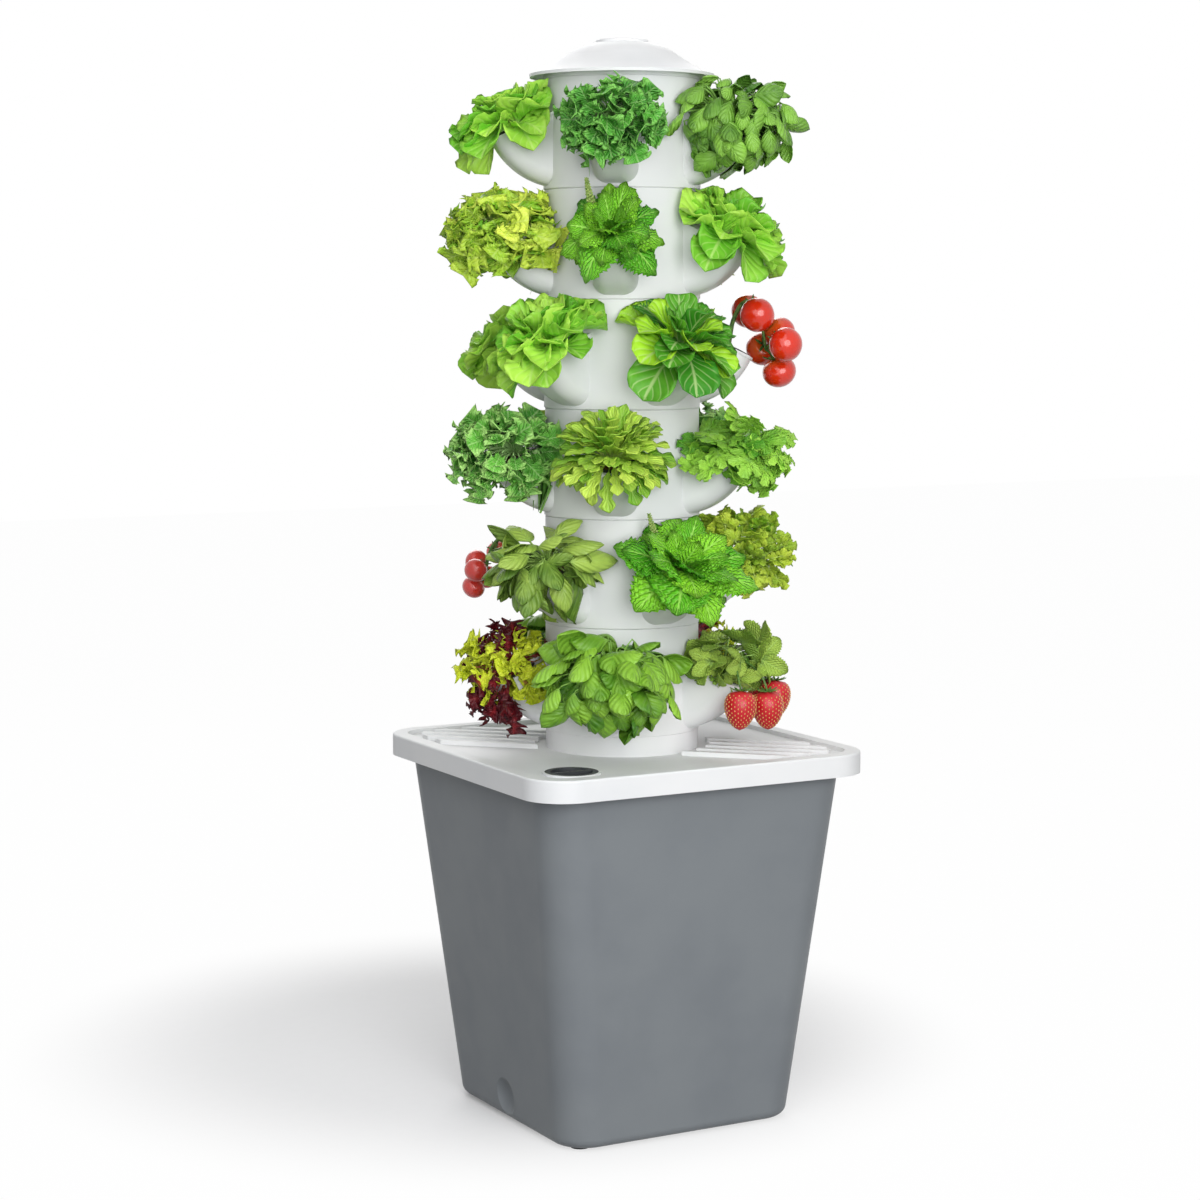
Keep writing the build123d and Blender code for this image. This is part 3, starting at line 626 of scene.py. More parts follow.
def under_next_tier(points):
    """Presses down the points that a pocket of the tier above would brush as it turns past."""
    out = np.clip(np.hypot(points[:, 0], points[:, 1]) - ELBOW_OUT, 0, ELBOW_CLEAR)
    ceiling = TIER_HEIGHT - SWEEP_GAP + ELBOW_UP - np.sqrt(ELBOW_CLEAR ** 2 - out ** 2)
    over = np.maximum(points[:, 2] - ceiling + SOFT_ROOM, 0)
    points[:, 2] += SOFT_ROOM * (1 - np.exp(-over / SOFT_ROOM)) - over
    return points


def fill_room(points, room):
    """Stretches a crown about its root to the room's reach, both sides, foot and top."""
    radius, spread, low, high = (value / 1000 for value in room)
    shift = points - np.array(ROOT)
    sides = ((0, 1, radius + spread / 2 - ROOT.x), (1, 1, spread / 2), (1, -1, spread / 2),
             (2, 1, high - ROOT.z), (2, -1, ROOT.z - low))
    stretches = []
    for axis, sign, wanted in sides:
        chosen = shift[:, axis] * sign > 0
        stretch = wanted / max((shift[:, axis] * sign).max(), LEAST_REACH)
        shift[chosen, axis] *= stretch
        stretches.append(round(float(stretch), 2))
    return shift + np.array(ROOT), stretches


# %% [markdown]
# Leaves leave a stem one golden angle after another, which fills a circle without rows. In a rosette the
# first leaves stand up in the heart and the last ones hang over the rim. Leaves that would point into the
# column are turned up along it instead.

# %% Rosettes
GOLDEN_ANGLE = pi * (3 - 5 ** 0.5)
INWARD_LIMIT = 0.34
INWARD_SIDE = 0.8
INWARD_RISE = 0.55
USUAL_SPREAD = 0.135
TILT_POWER = 0.85
SIZE_POWER = 0.6
ROSETTE_SIZES = (0.86, 1.14)
LOOSE_TILT = 0.10
LOOSE_TURN = 0.22
LOOSE_FACE = 0.16
FOOT_RADIUS = 0.003
FOOT_GROWTH = 0.007


def sprout(at, aim, upper, size=1.0, tint=0.5, pick=0):
    """One leaf's place: where it starts, where it points, which way its upper side looks, and its kind."""
    return {"at": at, "aim": aim, "upper": upper, "size": size, "tint": tint, "pick": pick}


def rosette(count, inner, outer, lean, heart, kinds, room, chance):
    tip = Matrix.Rotation(radians(lean), 3, "Y")
    scale = room[1] / 1000 / USUAL_SPREAD
    sprouts = []
    for index in range(count):
        share = (index + 0.5) / count
        tilt = radians(inner + (outer - inner) * share ** TILT_POWER) + chance.normal(0, LOOSE_TILT)
        turn = index * GOLDEN_ANGLE + chance.normal(0, LOOSE_TURN)
        out = Vector((cos(turn), sin(turn), 0))
        aim = tip @ (out * sin(tilt) + Vector((0, 0, cos(tilt))))
        upper = tip @ (Vector((0, 0, sin(tilt))) - out * cos(tilt))
        upper += Vector(chance.normal(0, LOOSE_FACE, 3))
        if aim.x < -INWARD_LIMIT:
            aim = Vector((-INWARD_LIMIT, aim.y * INWARD_SIDE, max(aim.z, INWARD_RISE)))
        size = (heart + (1 - heart) * share ** SIZE_POWER) * chance.uniform(*ROSETTE_SIZES) * scale
        foot = ROOT + out * (FOOT_RADIUS + FOOT_GROWTH * share)
        tint = chance.uniform(0, 1)
        sprouts.append(sprout(foot, aim, upper, size, tint, int(chance.integers(kinds))))
    return sprouts, []


# %% [markdown]
# Basil, mint, parsley and strawberry plants are bushes: their leaves sit all over a rounded outside, each
# at the end of its own stem. The golden angle spreads the leaves here too, from the bush's top down to
# its foot. A leaf points partly out of the bush and partly down its side, and its upper side looks out.
# The deeper it sits, the darker is its green: painted shade that stands in for the shadow inside the
# bush. Curly leaves are laid out the same way: what shows of them is a ball of crisp edges.

# %% Bushes
FREE_START = 0.0005
DEPTH = (0.74, 1.12)
PAINTED_SHADE = 0.6
TOP_TO_FOOT = 1.8
BUSH_TURN = 0.12
BUSH_SIZES = (0.66, 1.12)
STEM_ARCH = (0, 0, 0.012)
STEM_STEPS = 5
STEM_RADII = (0.0013, 0.0009)


def bush(count, foot, out, hang, loose, kinds, room, chance):
    radius, spread, low, high = (value / 1000 for value in room)
    centre = np.array((radius, 0, (low + high) / 2))
    half = np.array((spread, spread, high - low)) / 2
    scale = spread / USUAL_SPREAD
    sprouts, stems = [], []
    for index in range(count):
        rise = 1 - TOP_TO_FOOT * (index + 0.5) / count
        level = (1 - rise * rise) ** 0.5
        turn = index * GOLDEN_ANGLE + chance.normal(0, BUSH_TURN)
        way = np.array((level * cos(turn), level * sin(turn), rise))
        down_side = np.array((rise * cos(turn), rise * sin(turn), -level))
        reach = chance.uniform(*DEPTH)
        spot = centre + way * half * foot * reach
        aim = way * out + down_side * hang + chance.normal(0, loose, 3)
        upper = way + chance.normal(0, loose, 3)
        size = chance.uniform(*BUSH_SIZES) * scale
        moved = clear_of_plastic(np.array([spot]))[0]
        if np.linalg.norm(moved - spot) < FREE_START:
            # Painted shade: the deeper a leaf sits in the bush, the lower its tint and the darker its green.
            outer = (reach - DEPTH[0]) / (DEPTH[1] - DEPTH[0])
            tint = PAINTED_SHADE * outer + (1 - PAINTED_SHADE) * chance.uniform(0, 1)
            pick = int(chance.integers(kinds))
            sprouts.append(sprout(Vector(spot), Vector(aim), Vector(upper), size, tint, pick))
            middle = (np.array(ROOT) + spot) / 2 + STEM_ARCH
            stems.append(stem(bent(ROOT, middle, spot, STEM_STEPS), *STEM_RADII))
    return sprouts, stems


# %% [markdown]
# A leaf's finish follows its flat map. The midrib is a pale line down the middle, side veins slant away
# from it, the blade swells between them, and the stalk is paler than the blade. Each leaf's tint and a
# slow noise move it between a dark and a light green. In a bush the tint is partly painted shade, so the
# leaves deep inside are darker. Some leaves have an edge of another colour, and a few kinds have another
# colour for the leaves whose tint is high.

# %% Leaf finishes
VEIN_SLANT = 0.45
MOTTLE_SCALE = 70
OTHER_FROM = (0.60, 0.62)
BLADE_RELIEF = 0.0012


def leaf_finish(name, dark, light, vein, veins, show, rough=0.42, quilt=0.5, edge=None, other=None,
                rim=(0.55, 1.05)):
    made = Finish(name)
    across = abs(made.flat(0) - 0.5) * 2
    along = made.flat(1)
    tint = made.attribute("tint")
    mottle = made.noise(MOTTLE_SCALE, 4)
    rib = 1 - across.band(0.02, 0.10)
    gap = abs(((along - across * VEIN_SLANT) * veins).part() - 0.5) * 2
    side = (1 - gap.band(0.05, 0.30)) * (1 - across.band(0.75, 1.0))
    lines = rib.most(side * 0.6)
    foot = 1 - along.band(0.06, 0.26)
    colour = made.mix((tint * 0.62 + mottle * 0.45).band(0.1, 0.9), paint(*dark), paint(*light))
    if edge:
        colour = made.mix((across * 0.6 + along * 0.7 + mottle * 0.3).band(*rim), colour, paint(*edge))
    if other:
        colour = made.mix(tint.band(*OTHER_FROM), colour, paint(*other))
    colour = made.mix((lines * show).most(foot * 0.8), colour, paint(*vein))
    return made.surface({
        "Base Color": colour,
        "Roughness": rough + (mottle - 0.5) * 0.2,
        "Specular IOR Level": 0.3,
        "Normal": made.bump(gap.band(0.0, 0.9) * (1 - rib * 0.8) + mottle * 0.3, quilt, BLADE_RELIEF),
    })


LEAF_LOOKS = {
    "lettuce": dict(dark=(98, 184, 40), light=(186, 236, 88), vein=(208, 236, 146), veins=6, show=0.45),
    "kale": dict(dark=(20, 96, 18), light=(98, 190, 64), vein=(172, 212, 138), veins=7, show=0.45,
                 quilt=0.9, edge=(132, 206, 92), rim=(0.9, 1.3)),
    "curly_kale": dict(dark=(30, 114, 26), light=(126, 212, 80), vein=(186, 222, 150), veins=7, show=0.45,
                       quilt=0.9, edge=(176, 230, 126), rim=(0.85, 1.25)),
    "basil": dict(dark=(40, 104, 14), light=(152, 204, 66), vein=(150, 200, 92), veins=5, show=0.15,
                  rough=0.36, quilt=0.6),
    "dark_basil": dict(dark=(30, 88, 16), light=(146, 202, 78), vein=(138, 188, 88), veins=5, show=0.2,
                       rough=0.36, quilt=0.6),
    "long_basil": dict(dark=(56, 102, 22), light=(176, 206, 92), vein=(156, 194, 98), veins=5, show=0.2,
                       rough=0.4, quilt=0.6),
    "mint": dict(dark=(72, 174, 26), light=(150, 230, 52), vein=(180, 236, 110), veins=8, show=0.6,
                 quilt=1.5),
    "frilly": dict(dark=(104, 178, 22), light=(226, 244, 92), vein=(224, 242, 156), veins=6, show=0.3),
    "pak_choi": dict(dark=(52, 136, 32), light=(112, 184, 48), vein=(206, 228, 158), veins=6, show=0.55,
                     other=(166, 222, 48)),
    "rocket": dict(dark=(118, 182, 46), light=(208, 238, 94), vein=(208, 230, 138), veins=5, show=0.35),
    "parsley": dict(dark=(54, 138, 24), light=(182, 238, 88), vein=(156, 214, 100), veins=4, show=0.3),
    "coriander": dict(dark=(96, 164, 18), light=(228, 248, 86), vein=(204, 230, 122), veins=4, show=0.3),
    "red": dict(dark=(112, 20, 34), light=(176, 40, 52), vein=(186, 90, 80), veins=6, show=0.2,
                edge=(80, 12, 24), other=(212, 228, 54)),
    "strawberry": dict(dark=(66, 126, 30), light=(194, 226, 98), vein=(166, 206, 112), veins=8, show=0.4,
                       quilt=0.9),
}
GREENS = {kind: leaf_finish(kind, **look) for kind, look in LEAF_LOOKS.items()}
print("greens:", ", ".join(GREENS))

# %% [markdown]
# Now the kinds of leaf. Each kind has a few blades that differ in bend and wave, and a layout:
# how many, how upright in the heart, how far over at the rim, and how far the whole crown leans out of
# its pocket.

# %% Kinds of leaf
LEAST_CURL = 0.8
MORE_CURL = 0.4
TWIST_STEP = 1.7


def blades(variants, **shape):
    """A few blades of one kind, with other bends and waves."""
    made = []
    for index in range(variants):
        change = LEAST_CURL + MORE_CURL * index / (variants - 1)
        made.append(blade(**dict(shape, curl=shape["curl"] * change, twist=TWIST_STEP * index)))
    return made


def three_blades(side_turn, side_size, **shape):
    """A middle blade and two smaller ones at its sides, on one foot."""
    one = blade(**shape)
    made = []
    for turn, size in ((0, 1.0), (side_turn, side_size), (-side_turn, side_size)):
        made.append(one.moved(Matrix.Rotation(radians(turn), 4, "Z") @ Matrix.Scale(size, 4)))
    return gathered(made)


BUTTER_LEAVES = blades(4, length=0.064, width=0.056, belly=0.78, tip=0.40, rows=16, columns=8, cup=0.48,
                       curl=0.75, ruffle=0.0032, waves=2.2, stalk=0.06, stalk_width=0.16)
KALE_LEAVES = blades(4, length=0.044, width=0.046, belly=0.85, tip=0.24, rows=26, columns=6, cup=0.25,
                     curl=0.6, ruffle=0.0065, waves=3.2, lobes=4.0, lobe_depth=0.22, stalk=0.10,
                     stalk_width=0.08)
FRILLY_LEAVES = blades(4, length=0.038, width=0.044, belly=0.9, tip=0.2, rows=28, columns=6, cup=0.2,
                       curl=0.6, ruffle=0.0075, waves=3.6, lobes=5.0, lobe_depth=0.2, stalk=0.06,
                       stalk_width=0.12)
RED_LEAVES = blades(4, length=0.044, width=0.042, belly=0.9, tip=0.22, rows=28, columns=6, cup=0.25,
                    curl=0.7, ruffle=0.0075, waves=3.2, lobes=4.0, lobe_depth=0.36, stalk=0.08,
                    stalk_width=0.12)
BASIL_LEAVES = blades(3, length=0.047, width=0.034, belly=0.55, tip=0.55, rows=12, columns=8, cup=-0.6,
                      curl=0.8, stalk=0.10, stalk_width=0.07, ruffle=0.0008, waves=2)
SMALL_BASIL_LEAVES = blades(3, length=0.036, width=0.026, belly=0.55, tip=0.6, rows=10, columns=6, cup=-0.5,
                            curl=0.9, stalk=0.10, stalk_width=0.07, ruffle=0.0006, waves=2)
LONG_BASIL_LEAVES = blades(3, length=0.062, width=0.034, belly=0.6, tip=0.7, rows=12, columns=6, cup=-0.45,
                           curl=0.9, stalk=0.10, stalk_width=0.07, ruffle=0.0008, waves=2)
MINT_LEAVES = blades(3, length=0.066, width=0.054, belly=0.45, tip=0.85, rows=28, columns=8, cup=-0.16,
                     curl=0.6, teeth=0.09, stalk=0.05, stalk_width=0.06, ruffle=0.0022, waves=5)
PAK_CHOI_LEAVES = blades(4, length=0.070, width=0.052, belly=0.72, tip=0.40, rows=16, columns=8, cup=0.40,
                         curl=0.8, ruffle=0.0018, waves=2.5, stalk=0.22, stalk_width=0.17)
ROCKET_LEAVES = blades(4, length=0.066, width=0.022, belly=0.9, tip=0.45, rows=16, columns=4, cup=0.3,
                       curl=0.65, lobes=3.0, lobe_depth=0.5, ruffle=0.0016, waves=3, stalk=0.25,
                       stalk_width=0.07)
PARSLEY_LEAFLET = three_blades(50, 0.85, length=0.030, width=0.020, belly=0.6, tip=0.34, rows=10, columns=4,
                               cup=0.2, curl=0.5, teeth=0.12, lobes=1.5, lobe_depth=0.3, stalk=0.12)
CORIANDER_LEAFLET = three_blades(48, 0.8, length=0.019, width=0.012, belly=0.6, tip=0.34, rows=6, columns=2,
                                 cup=0.2, curl=0.4, teeth=0.16, stalk=0.12)
STRAWBERRY_LEAFLET = blade(length=0.048, width=0.038, belly=0.5, tip=0.62, rows=24, columns=6, cup=0.25,
                           curl=0.4, teeth=0.08, stalk=0.05, ruffle=0.0012, waves=7)
PARSLEY_PLACES = ((0.2, 74, 0.8), (0.2, -74, 0.8), (1.0, 0, 1.1), (1.0, 70, 0.9), (1.0, -70, 0.9))
CORIANDER_PLACES = ((0.45, 70, 0.8), (0.45, -70, 0.8), (1.0, 0, 1.2), (1.0, 62, 1.0), (1.0, -62, 1.0))
STRAWBERRY_PLACES = ((1.0, 0, 1.0), (1.0, 82, 0.9), (1.0, -82, 0.9))
PARSLEY_LEAVES = [compound(PARSLEY_LEAFLET, 0.020, PARSLEY_PLACES, droop) for droop in (0.2, 0.5)]
CORIANDER_LEAVES = [compound(CORIANDER_LEAFLET, 0.030, CORIANDER_PLACES, droop) for droop in (0.1, 0.4)]
STRAWBERRY_LEAVES = [compound(STRAWBERRY_LEAFLET, 0.010, STRAWBERRY_PLACES, droop) for droop in (0.2, 0.5)]

SPECIES = {
    "lettuce": (BUTTER_LEAVES, rosette, dict(count=42, inner=6, outer=110, lean=24, heart=0.55)),
    "kale": (KALE_LEAVES, bush, dict(count=120, foot=0.66, out=1.0, hang=0.25, loose=0.3)),
    "curly_kale": (KALE_LEAVES, bush, dict(count=130, foot=0.68, out=1.0, hang=0.25, loose=0.3)),
    "frilly": (FRILLY_LEAVES, bush, dict(count=170, foot=0.72, out=1.0, hang=0.2, loose=0.35)),
    "red": (RED_LEAVES, bush, dict(count=130, foot=0.68, out=1.0, hang=0.2, loose=0.35)),
    "pak_choi": (PAK_CHOI_LEAVES, rosette, dict(count=32, inner=6, outer=114, lean=26, heart=0.6)),
    "rocket": (ROCKET_LEAVES, rosette, dict(count=130, inner=2, outer=118, lean=22, heart=0.8)),
    "basil": (BASIL_LEAVES, bush, dict(count=160, foot=0.86, out=0.35, hang=0.8, loose=0.3)),
    "dark_basil": (SMALL_BASIL_LEAVES, bush, dict(count=180, foot=0.86, out=0.4, hang=0.7, loose=0.32)),
    "long_basil": (LONG_BASIL_LEAVES, bush, dict(count=78, foot=0.64, out=0.6, hang=0.5, loose=0.3)),
    "mint": (MINT_LEAVES, rosette, dict(count=26, inner=8, outer=104, lean=46, heart=0.4)),
    "parsley": (PARSLEY_LEAVES, bush, dict(count=64, foot=0.68, out=0.8, hang=0.5, loose=0.3)),
    "coriander": (CORIANDER_LEAVES, bush, dict(count=110, foot=0.62, out=1.0, hang=0.1, loose=0.3)),
    "strawberry": (STRAWBERRY_LEAVES, bush, dict(count=36, foot=0.62, out=0.5, hang=0.6, loose=0.3)),
}
print("kinds of leaf:", ", ".join(SPECIES))

# %% [markdown]
# The planting list gives, for each node of the frame, the kind of leaf, its tier, and for each pocket the
# room that the solid holds: the middle's distance from the column's axis, the spread, the foot and the
# top, in millimetres. Each crown becomes a piece that rides on its tier and stands for its node.

# %% Planting
PLANTING = [
    ("tier_1_lettuce", "lettuce", 1, [(4, (142, 118, 16, 126)), (2, (140, 112, 18, 124))]),
    ("tier_1_kale", "kale", 1, [(0, (138, 128, 14, 126)), (3, (138, 120, 16, 122))]),
    ("tier_1_basil", "dark_basil", 1, [(1, (138, 148, 16, 126))]),
    ("tier_2_frilly_lettuce", "frilly", 2, [(4, (140, 152, 12, 133)), (2, (140, 130, 14, 132))]),
    ("tier_2_mint", "mint", 2, [(0, (138, 116, 16, 130)), (3, (138, 112, 18, 128))]),
    ("tier_2_butter_lettuce", "lettuce", 2, [(1, (140, 126, 18, 133))]),
    ("tier_3_lettuce", "lettuce", 3, [(4, (138, 134, 14, 133)), (3, (140, 120, 18, 130))]),
    ("tier_3_pak_choi", "pak_choi", 3, [(0, (138, 144, 12, 133)), (2, (138, 130, 14, 132))]),
    ("tier_4_curly_kale", "curly_kale", 4, [(4, (140, 138, 12, 133)), (2, (140, 126, 16, 132))]),
    ("tier_4_rocket", "rocket", 4, [(0, (138, 142, 14, 133)), (3, (138, 128, 16, 132))]),
    ("tier_4_parsley", "parsley", 4, [(1, (142, 138, 24, 133))]),
    ("tier_5_basil", "long_basil", 5, [(4, (138, 150, 20, 130)), (2, (138, 132, 24, 128))]),
    ("tier_5_mint", "mint", 5, [(0, (138, 144, 12, 133))]),
    ("tier_5_coriander", "coriander", 5, [(1, (142, 142, 22, 133))]),
    ("tier_6_red_lettuce", "red", 6, [(4, (140, 120, -6, 131)), (2, (140, 116, 2, 130))]),
    ("tier_6_basil", "basil", 6, [(0, (134, 178, 2, 134)), (3, (138, 132, 4, 132))]),
    ("tier_6_strawberry_plant", "strawberry", 6, [(1, (140, 122, 46, 133))]),
]
FIRST_SEED = 100
SEEDS_APART = 10
YELLOW_BAND = (0.44, 0.76)
YELLOW_TINT = 0.8
RED_TINTS = 0.6
BAND_LOOSE = 0.08


def settle(mesh, room, place):
    """Fits a crown's mesh to its room, clears the plastic and carries it to its pocket."""
    points = np.zeros(len(mesh.vertices) * 3)
    mesh.vertices.foreach_get("co", points)
    points, stretches = fill_room(points.reshape(-1, 3), room)
    mesh.vertices.foreach_set("co", under_next_tier(clear_of_plastic(points)).ravel())
    mesh.transform(place)
    mesh.update()
    return stretches


def add_piece(name, mesh, tier, node):
    piece = bpy.data.objects.new(name, mesh)
    bpy.context.scene.collection.objects.link(piece)
    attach(piece, f"tier_{tier}")
    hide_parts(node)


def band_of_yellow(sprouts, room, chance):
    """A red lettuce has a band of yellow-green leaves: there the tint is high, and elsewhere low."""
    for leaf in sprouts:
        rise = (leaf["at"].z * 1000 - room[2]) / (room[3] - room[2]) + chance.normal(0, BAND_LOOSE)
        yellow = YELLOW_BAND[0] < rise < YELLOW_BAND[1]
        leaf["tint"] = YELLOW_TINT if yellow else leaf["tint"] * RED_TINTS


for number, (node, kind, tier, pockets) in enumerate(PLANTING):
    leaves, layout, values = SPECIES[kind]
    for pocket, room in pockets:
        chance = np.random.default_rng(FIRST_SEED + SEEDS_APART * number + pocket)
        name = f"{node}_crown_{pocket}"
        sprouts, stems = layout(**values, kinds=len(leaves), room=room, chance=chance)
        shapes = list(leaves)
        if kind == "red":
            band_of_yellow(sprouts, room, chance)
        if stems:
            sprouts.append(sprout((0, 0, 0), (0, 1, 0), (0, 0, 1), pick=len(leaves)))
            shapes.append(gathered(stems))
        mesh = crown_mesh(name, sprouts, shapes, GREENS[kind])
        stretches = settle(mesh, room, pocket_place(tier, pocket))
        add_piece(name, mesh, tier, node)
        print(name, len(mesh.polygons), "faces, stretched by", stretches)

# %% [markdown]
# Fruit is round, so it is turned on an axis from a profile. A tomato is a little flat, dips at its stalk
# and has soft ridges round the dip. Five narrow sepals and a bent stalk join it to the vine, which arches
# out of the pocket and down. The vine and the fruit are separate pieces, because one is dull green and
# the other glossy red.

# %% Turned fruit
TOMATO_ROWS = 17
TOMATO_SIDES = 30
TOMATO_FLAT = 0.9
DIP_DEPTH = 0.16
DIP_WIDTH = 0.32
RIDGES = 5
RIDGE_HEIGHT = 0.03
SEPAL_WIDTH = 0.24
SEPAL_UNEVEN = 0.2


def turned(profile, sides, ridge=None):
    """A closed form round Z from (radius, height) rings, with a pole above and below."""
    points = [(0, 0, profile[0][1])]
    flat = [(0.5, 0.0)]
    count = len(profile)
    for row, (radius, height) in enumerate(profile[1:-1]):
        for side in range(sides):
            angle = 2 * pi * side / sides
            own = radius * (ridge(angle, (row + 1) / (count - 1)) if ridge else 1)
            points.append((own * cos(angle), own * sin(angle), height))
            flat.append((side / sides, (row + 1) / (count - 1)))
    points.append((0, 0, profile[-1][1]))
    flat.append((0.5, 1.0))
    last = len(points) - 1
    faces = []
    for side in range(sides):
        after = (side + 1) % sides
        faces.append((0, 1 + side, 1 + after))
        faces.append((last, last - sides + after, last - sides + side))
        for row in range(count - 3):
            a = 1 + row * sides
            faces.append((a + side, a + sides + side, a + sides + after, a + after))
    return Form(points, faces, flat)


def tomato(radius):
    turn = np.linspace(0, pi, TOMATO_ROWS)
    heights = radius * (TOMATO_FLAT * np.cos(turn) - DIP_DEPTH * np.exp(-(turn / DIP_WIDTH) ** 2))
    profile = list(zip(radius * np.sin(turn), heights))

    def ridge(angle, share):
        return 1 + RIDGE_HEIGHT * cos(RIDGES * angle) * (1 - share) ** 2

    return turned(profile, TOMATO_SIDES, ridge)


def calyx(size, count, lift):
    """A star of narrow sepals round Z."""
    sepal = blade(length=size, width=size * SEPAL_WIDTH, belly=0.4, tip=0.8, rows=7, columns=4, cup=0.3,
                  curl=-0.7, stalk=0.05, stalk_width=0.3)
    made = []
    for index in range(count):
        angle = 2 * pi * (index + SEPAL_UNEVEN * (index % 2)) / count
        out = Vector((cos(angle), sin(angle), lift))
        made.append(sepal.moved(facing(out, (0, 0, 1))))
    return gathered(made)


def upright(axis, at):
    """A place whose Z runs along axis."""
    axis = Vector(axis).normalized()
    turn = Vector((0, 0, 1)).rotation_difference(axis).to_matrix().to_4x4()
    return Matrix.Translation(Vector(at)) @ turn


# %% [markdown]
# Ripe tomato skin is smooth and wet-looking, redder below and a little orange at its shoulders. Cherry
# tomatoes are a softer red. Their finish follows the fruit's own map, from the stalk's dip down to the
# tip.

# %% Fruit finishes


def fruit_skin(name, ripe, shoulder, rough, wet=0.35):
    made = Finish(name)
    down = made.flat(1)
    mottle = made.noise(45, 3)
    speck = made.noise(900, 1)
    tone = made.mix((down + (mottle - 0.5) * 0.35).band(0.06, 0.42), paint(*shoulder), paint(*ripe))
    return made.surface({
        "Base Color": made.mix(speck.band(0.62, 0.78) * 0.25, tone, paint(*shoulder)),
        "Roughness": rough + mottle * 0.08,
        "Coat Weight": wet,
        "Coat Roughness": 0.06,
        "Normal": made.bump(speck, 0.05, 0.0003),
    })


def dull_green(name, dark, light):
    made = Finish(name)
    streaks = made.noise(240, 4)
    return made.surface({
        "Base Color": made.mix(streaks.band(0.3, 0.7), paint(*dark), paint(*light)),
        "Roughness": 0.6,
        "Normal": made.bump(streaks, 0.4, 0.0006),
    })


TOMATO_SKIN = fruit_skin("tomato_skin", (226, 44, 16), (238, 98, 30), 0.16)
CHERRY_SKIN = fruit_skin("cherry_skin", (224, 62, 54), (234, 104, 82), 0.2)
BERRY_SKIN = fruit_skin("berry_skin", (190, 8, 28), (206, 34, 48), 0.34, 0.1)
VINE_GREEN = dull_green("vine_green", (62, 104, 40), (104, 144, 62))
SEED_YELLOW = dull_green("seed_yellow", (206, 160, 84), (226, 190, 118))
SPIKE_GREEN = dull_green("spike_green", (122, 158, 62), (190, 210, 124))
print("fruit and stalk finishes: 6")

# %% [markdown]
# The truss is laid out from the same fruit places as the solid in the frame. Each fruit looks for the
# nearest point of the vine that is clear of it, turns its stalk end that way, and gets a bent stalk to
# that point.

# %% Tomatoes on the vine
TRUSSES = [
    ("tier_3_tomatoes", 3, 1, 20, TOMATO_SKIN,
     ((152, -34, 106), (158, 26, 110), (188, 0, 84), (184, -42, 72), (180, 40, 66), (187, -6, 40)),
     ((127, 0, 70), (131, -3, 100), (142, -5, 122), (155, -6, 121), (163, -6, 104), (167, -7, 86),
      (170, -8, 66))),
    ("tier_5_cherry_tomatoes", 5, 3, 14, CHERRY_SKIN,
     ((172, -26, 72), (190, -4, 62), (178, 22, 54), (186, -24, 42), (190, 4, 32)),
     ((127, 0, 70), (138, 0, 92), (156, -2, 93), (169, -4, 82), (174, -3, 67), (176, -1, 52), (178, -4, 44))),
]
STALK_CLEAR = 1.25
STALK_LEAN = Vector((0, 0, 0.35))
STALK_SEAT = 0.74
STALK_RISE = 1.25
TOMATO_SEPALS = 5
SEPAL_LIFT = 0.25
SEPAL_LENGTH = 0.72
SEPAL_SEAT = 0.80
VINE_RADII = (0.0030, 0.0016)
STALK_RADII = (0.0014, 0.0016)


def smooth_way(points, steps=5):
    """Fills in a vine's way with bends that pass through the middles of its runs."""
    points = [np.array(point, float) / 1000 for point in points]
    middles = [(a + b) / 2 for a, b in zip(points, points[1:])]
    way = [points[0]]
    for before, corner, after in zip(middles, points[1:-1], middles[1:]):
        way += list(bent(before, corner, after, steps))[:-1]
    return np.array(way + [middles[-1], points[-1]])


def add_formed(name, forms, finish, tier, pocket, node):
    """A piece straight from its forms, carried to its pocket."""
    mesh = as_mesh(name, gathered(forms).moved(pocket_place(tier, pocket)))
    mesh.materials.append(finish)
    mesh.shade_smooth()
    add_piece(name, mesh, tier, node)
    print(name, len(mesh.polygons), "faces")


for node, tier, pocket, size, skin, spots, vine in TRUSSES:
    radius = size / 1000
    way = smooth_way(vine)
    fruit = []
    green = [stem(way, *VINE_RADII)]
    for spot in spots:
        centre = np.array(spot) / 1000
        away = np.linalg.norm(way - centre, axis=1)
        knot = way[np.argmin(np.where(away > STALK_CLEAR * radius, away, np.inf))]
        place = upright(Vector(knot - centre).normalized() + STALK_LEAN, centre)
        top = np.array(place @ Vector((0, 0, STALK_SEAT * radius)))
        rise = np.array(place @ Vector((0, 0, STALK_RISE * radius)))
        star = calyx(SEPAL_LENGTH * radius, TOMATO_SEPALS, SEPAL_LIFT)
        fruit.append(tomato(radius).moved(place))
        green.append(star.moved(place @ Matrix.Translation((0, 0, SEPAL_SEAT * radius))))
        green.append(stem(bent(top, rise, knot), *STALK_RADII))
    add_formed(f"{node}_fruit", fruit, skin, tier, pocket, node)
    add_formed(f"{node}_vine", green, VINE_GREEN, tier, pocket, node)

# %% [markdown]
# A strawberry is a blunt cone. Its seeds sit in small pits, in rows that are half a step apart, so every
# second point of the skin is pressed in and marked. The foliage tree then sets a seed in each pit.

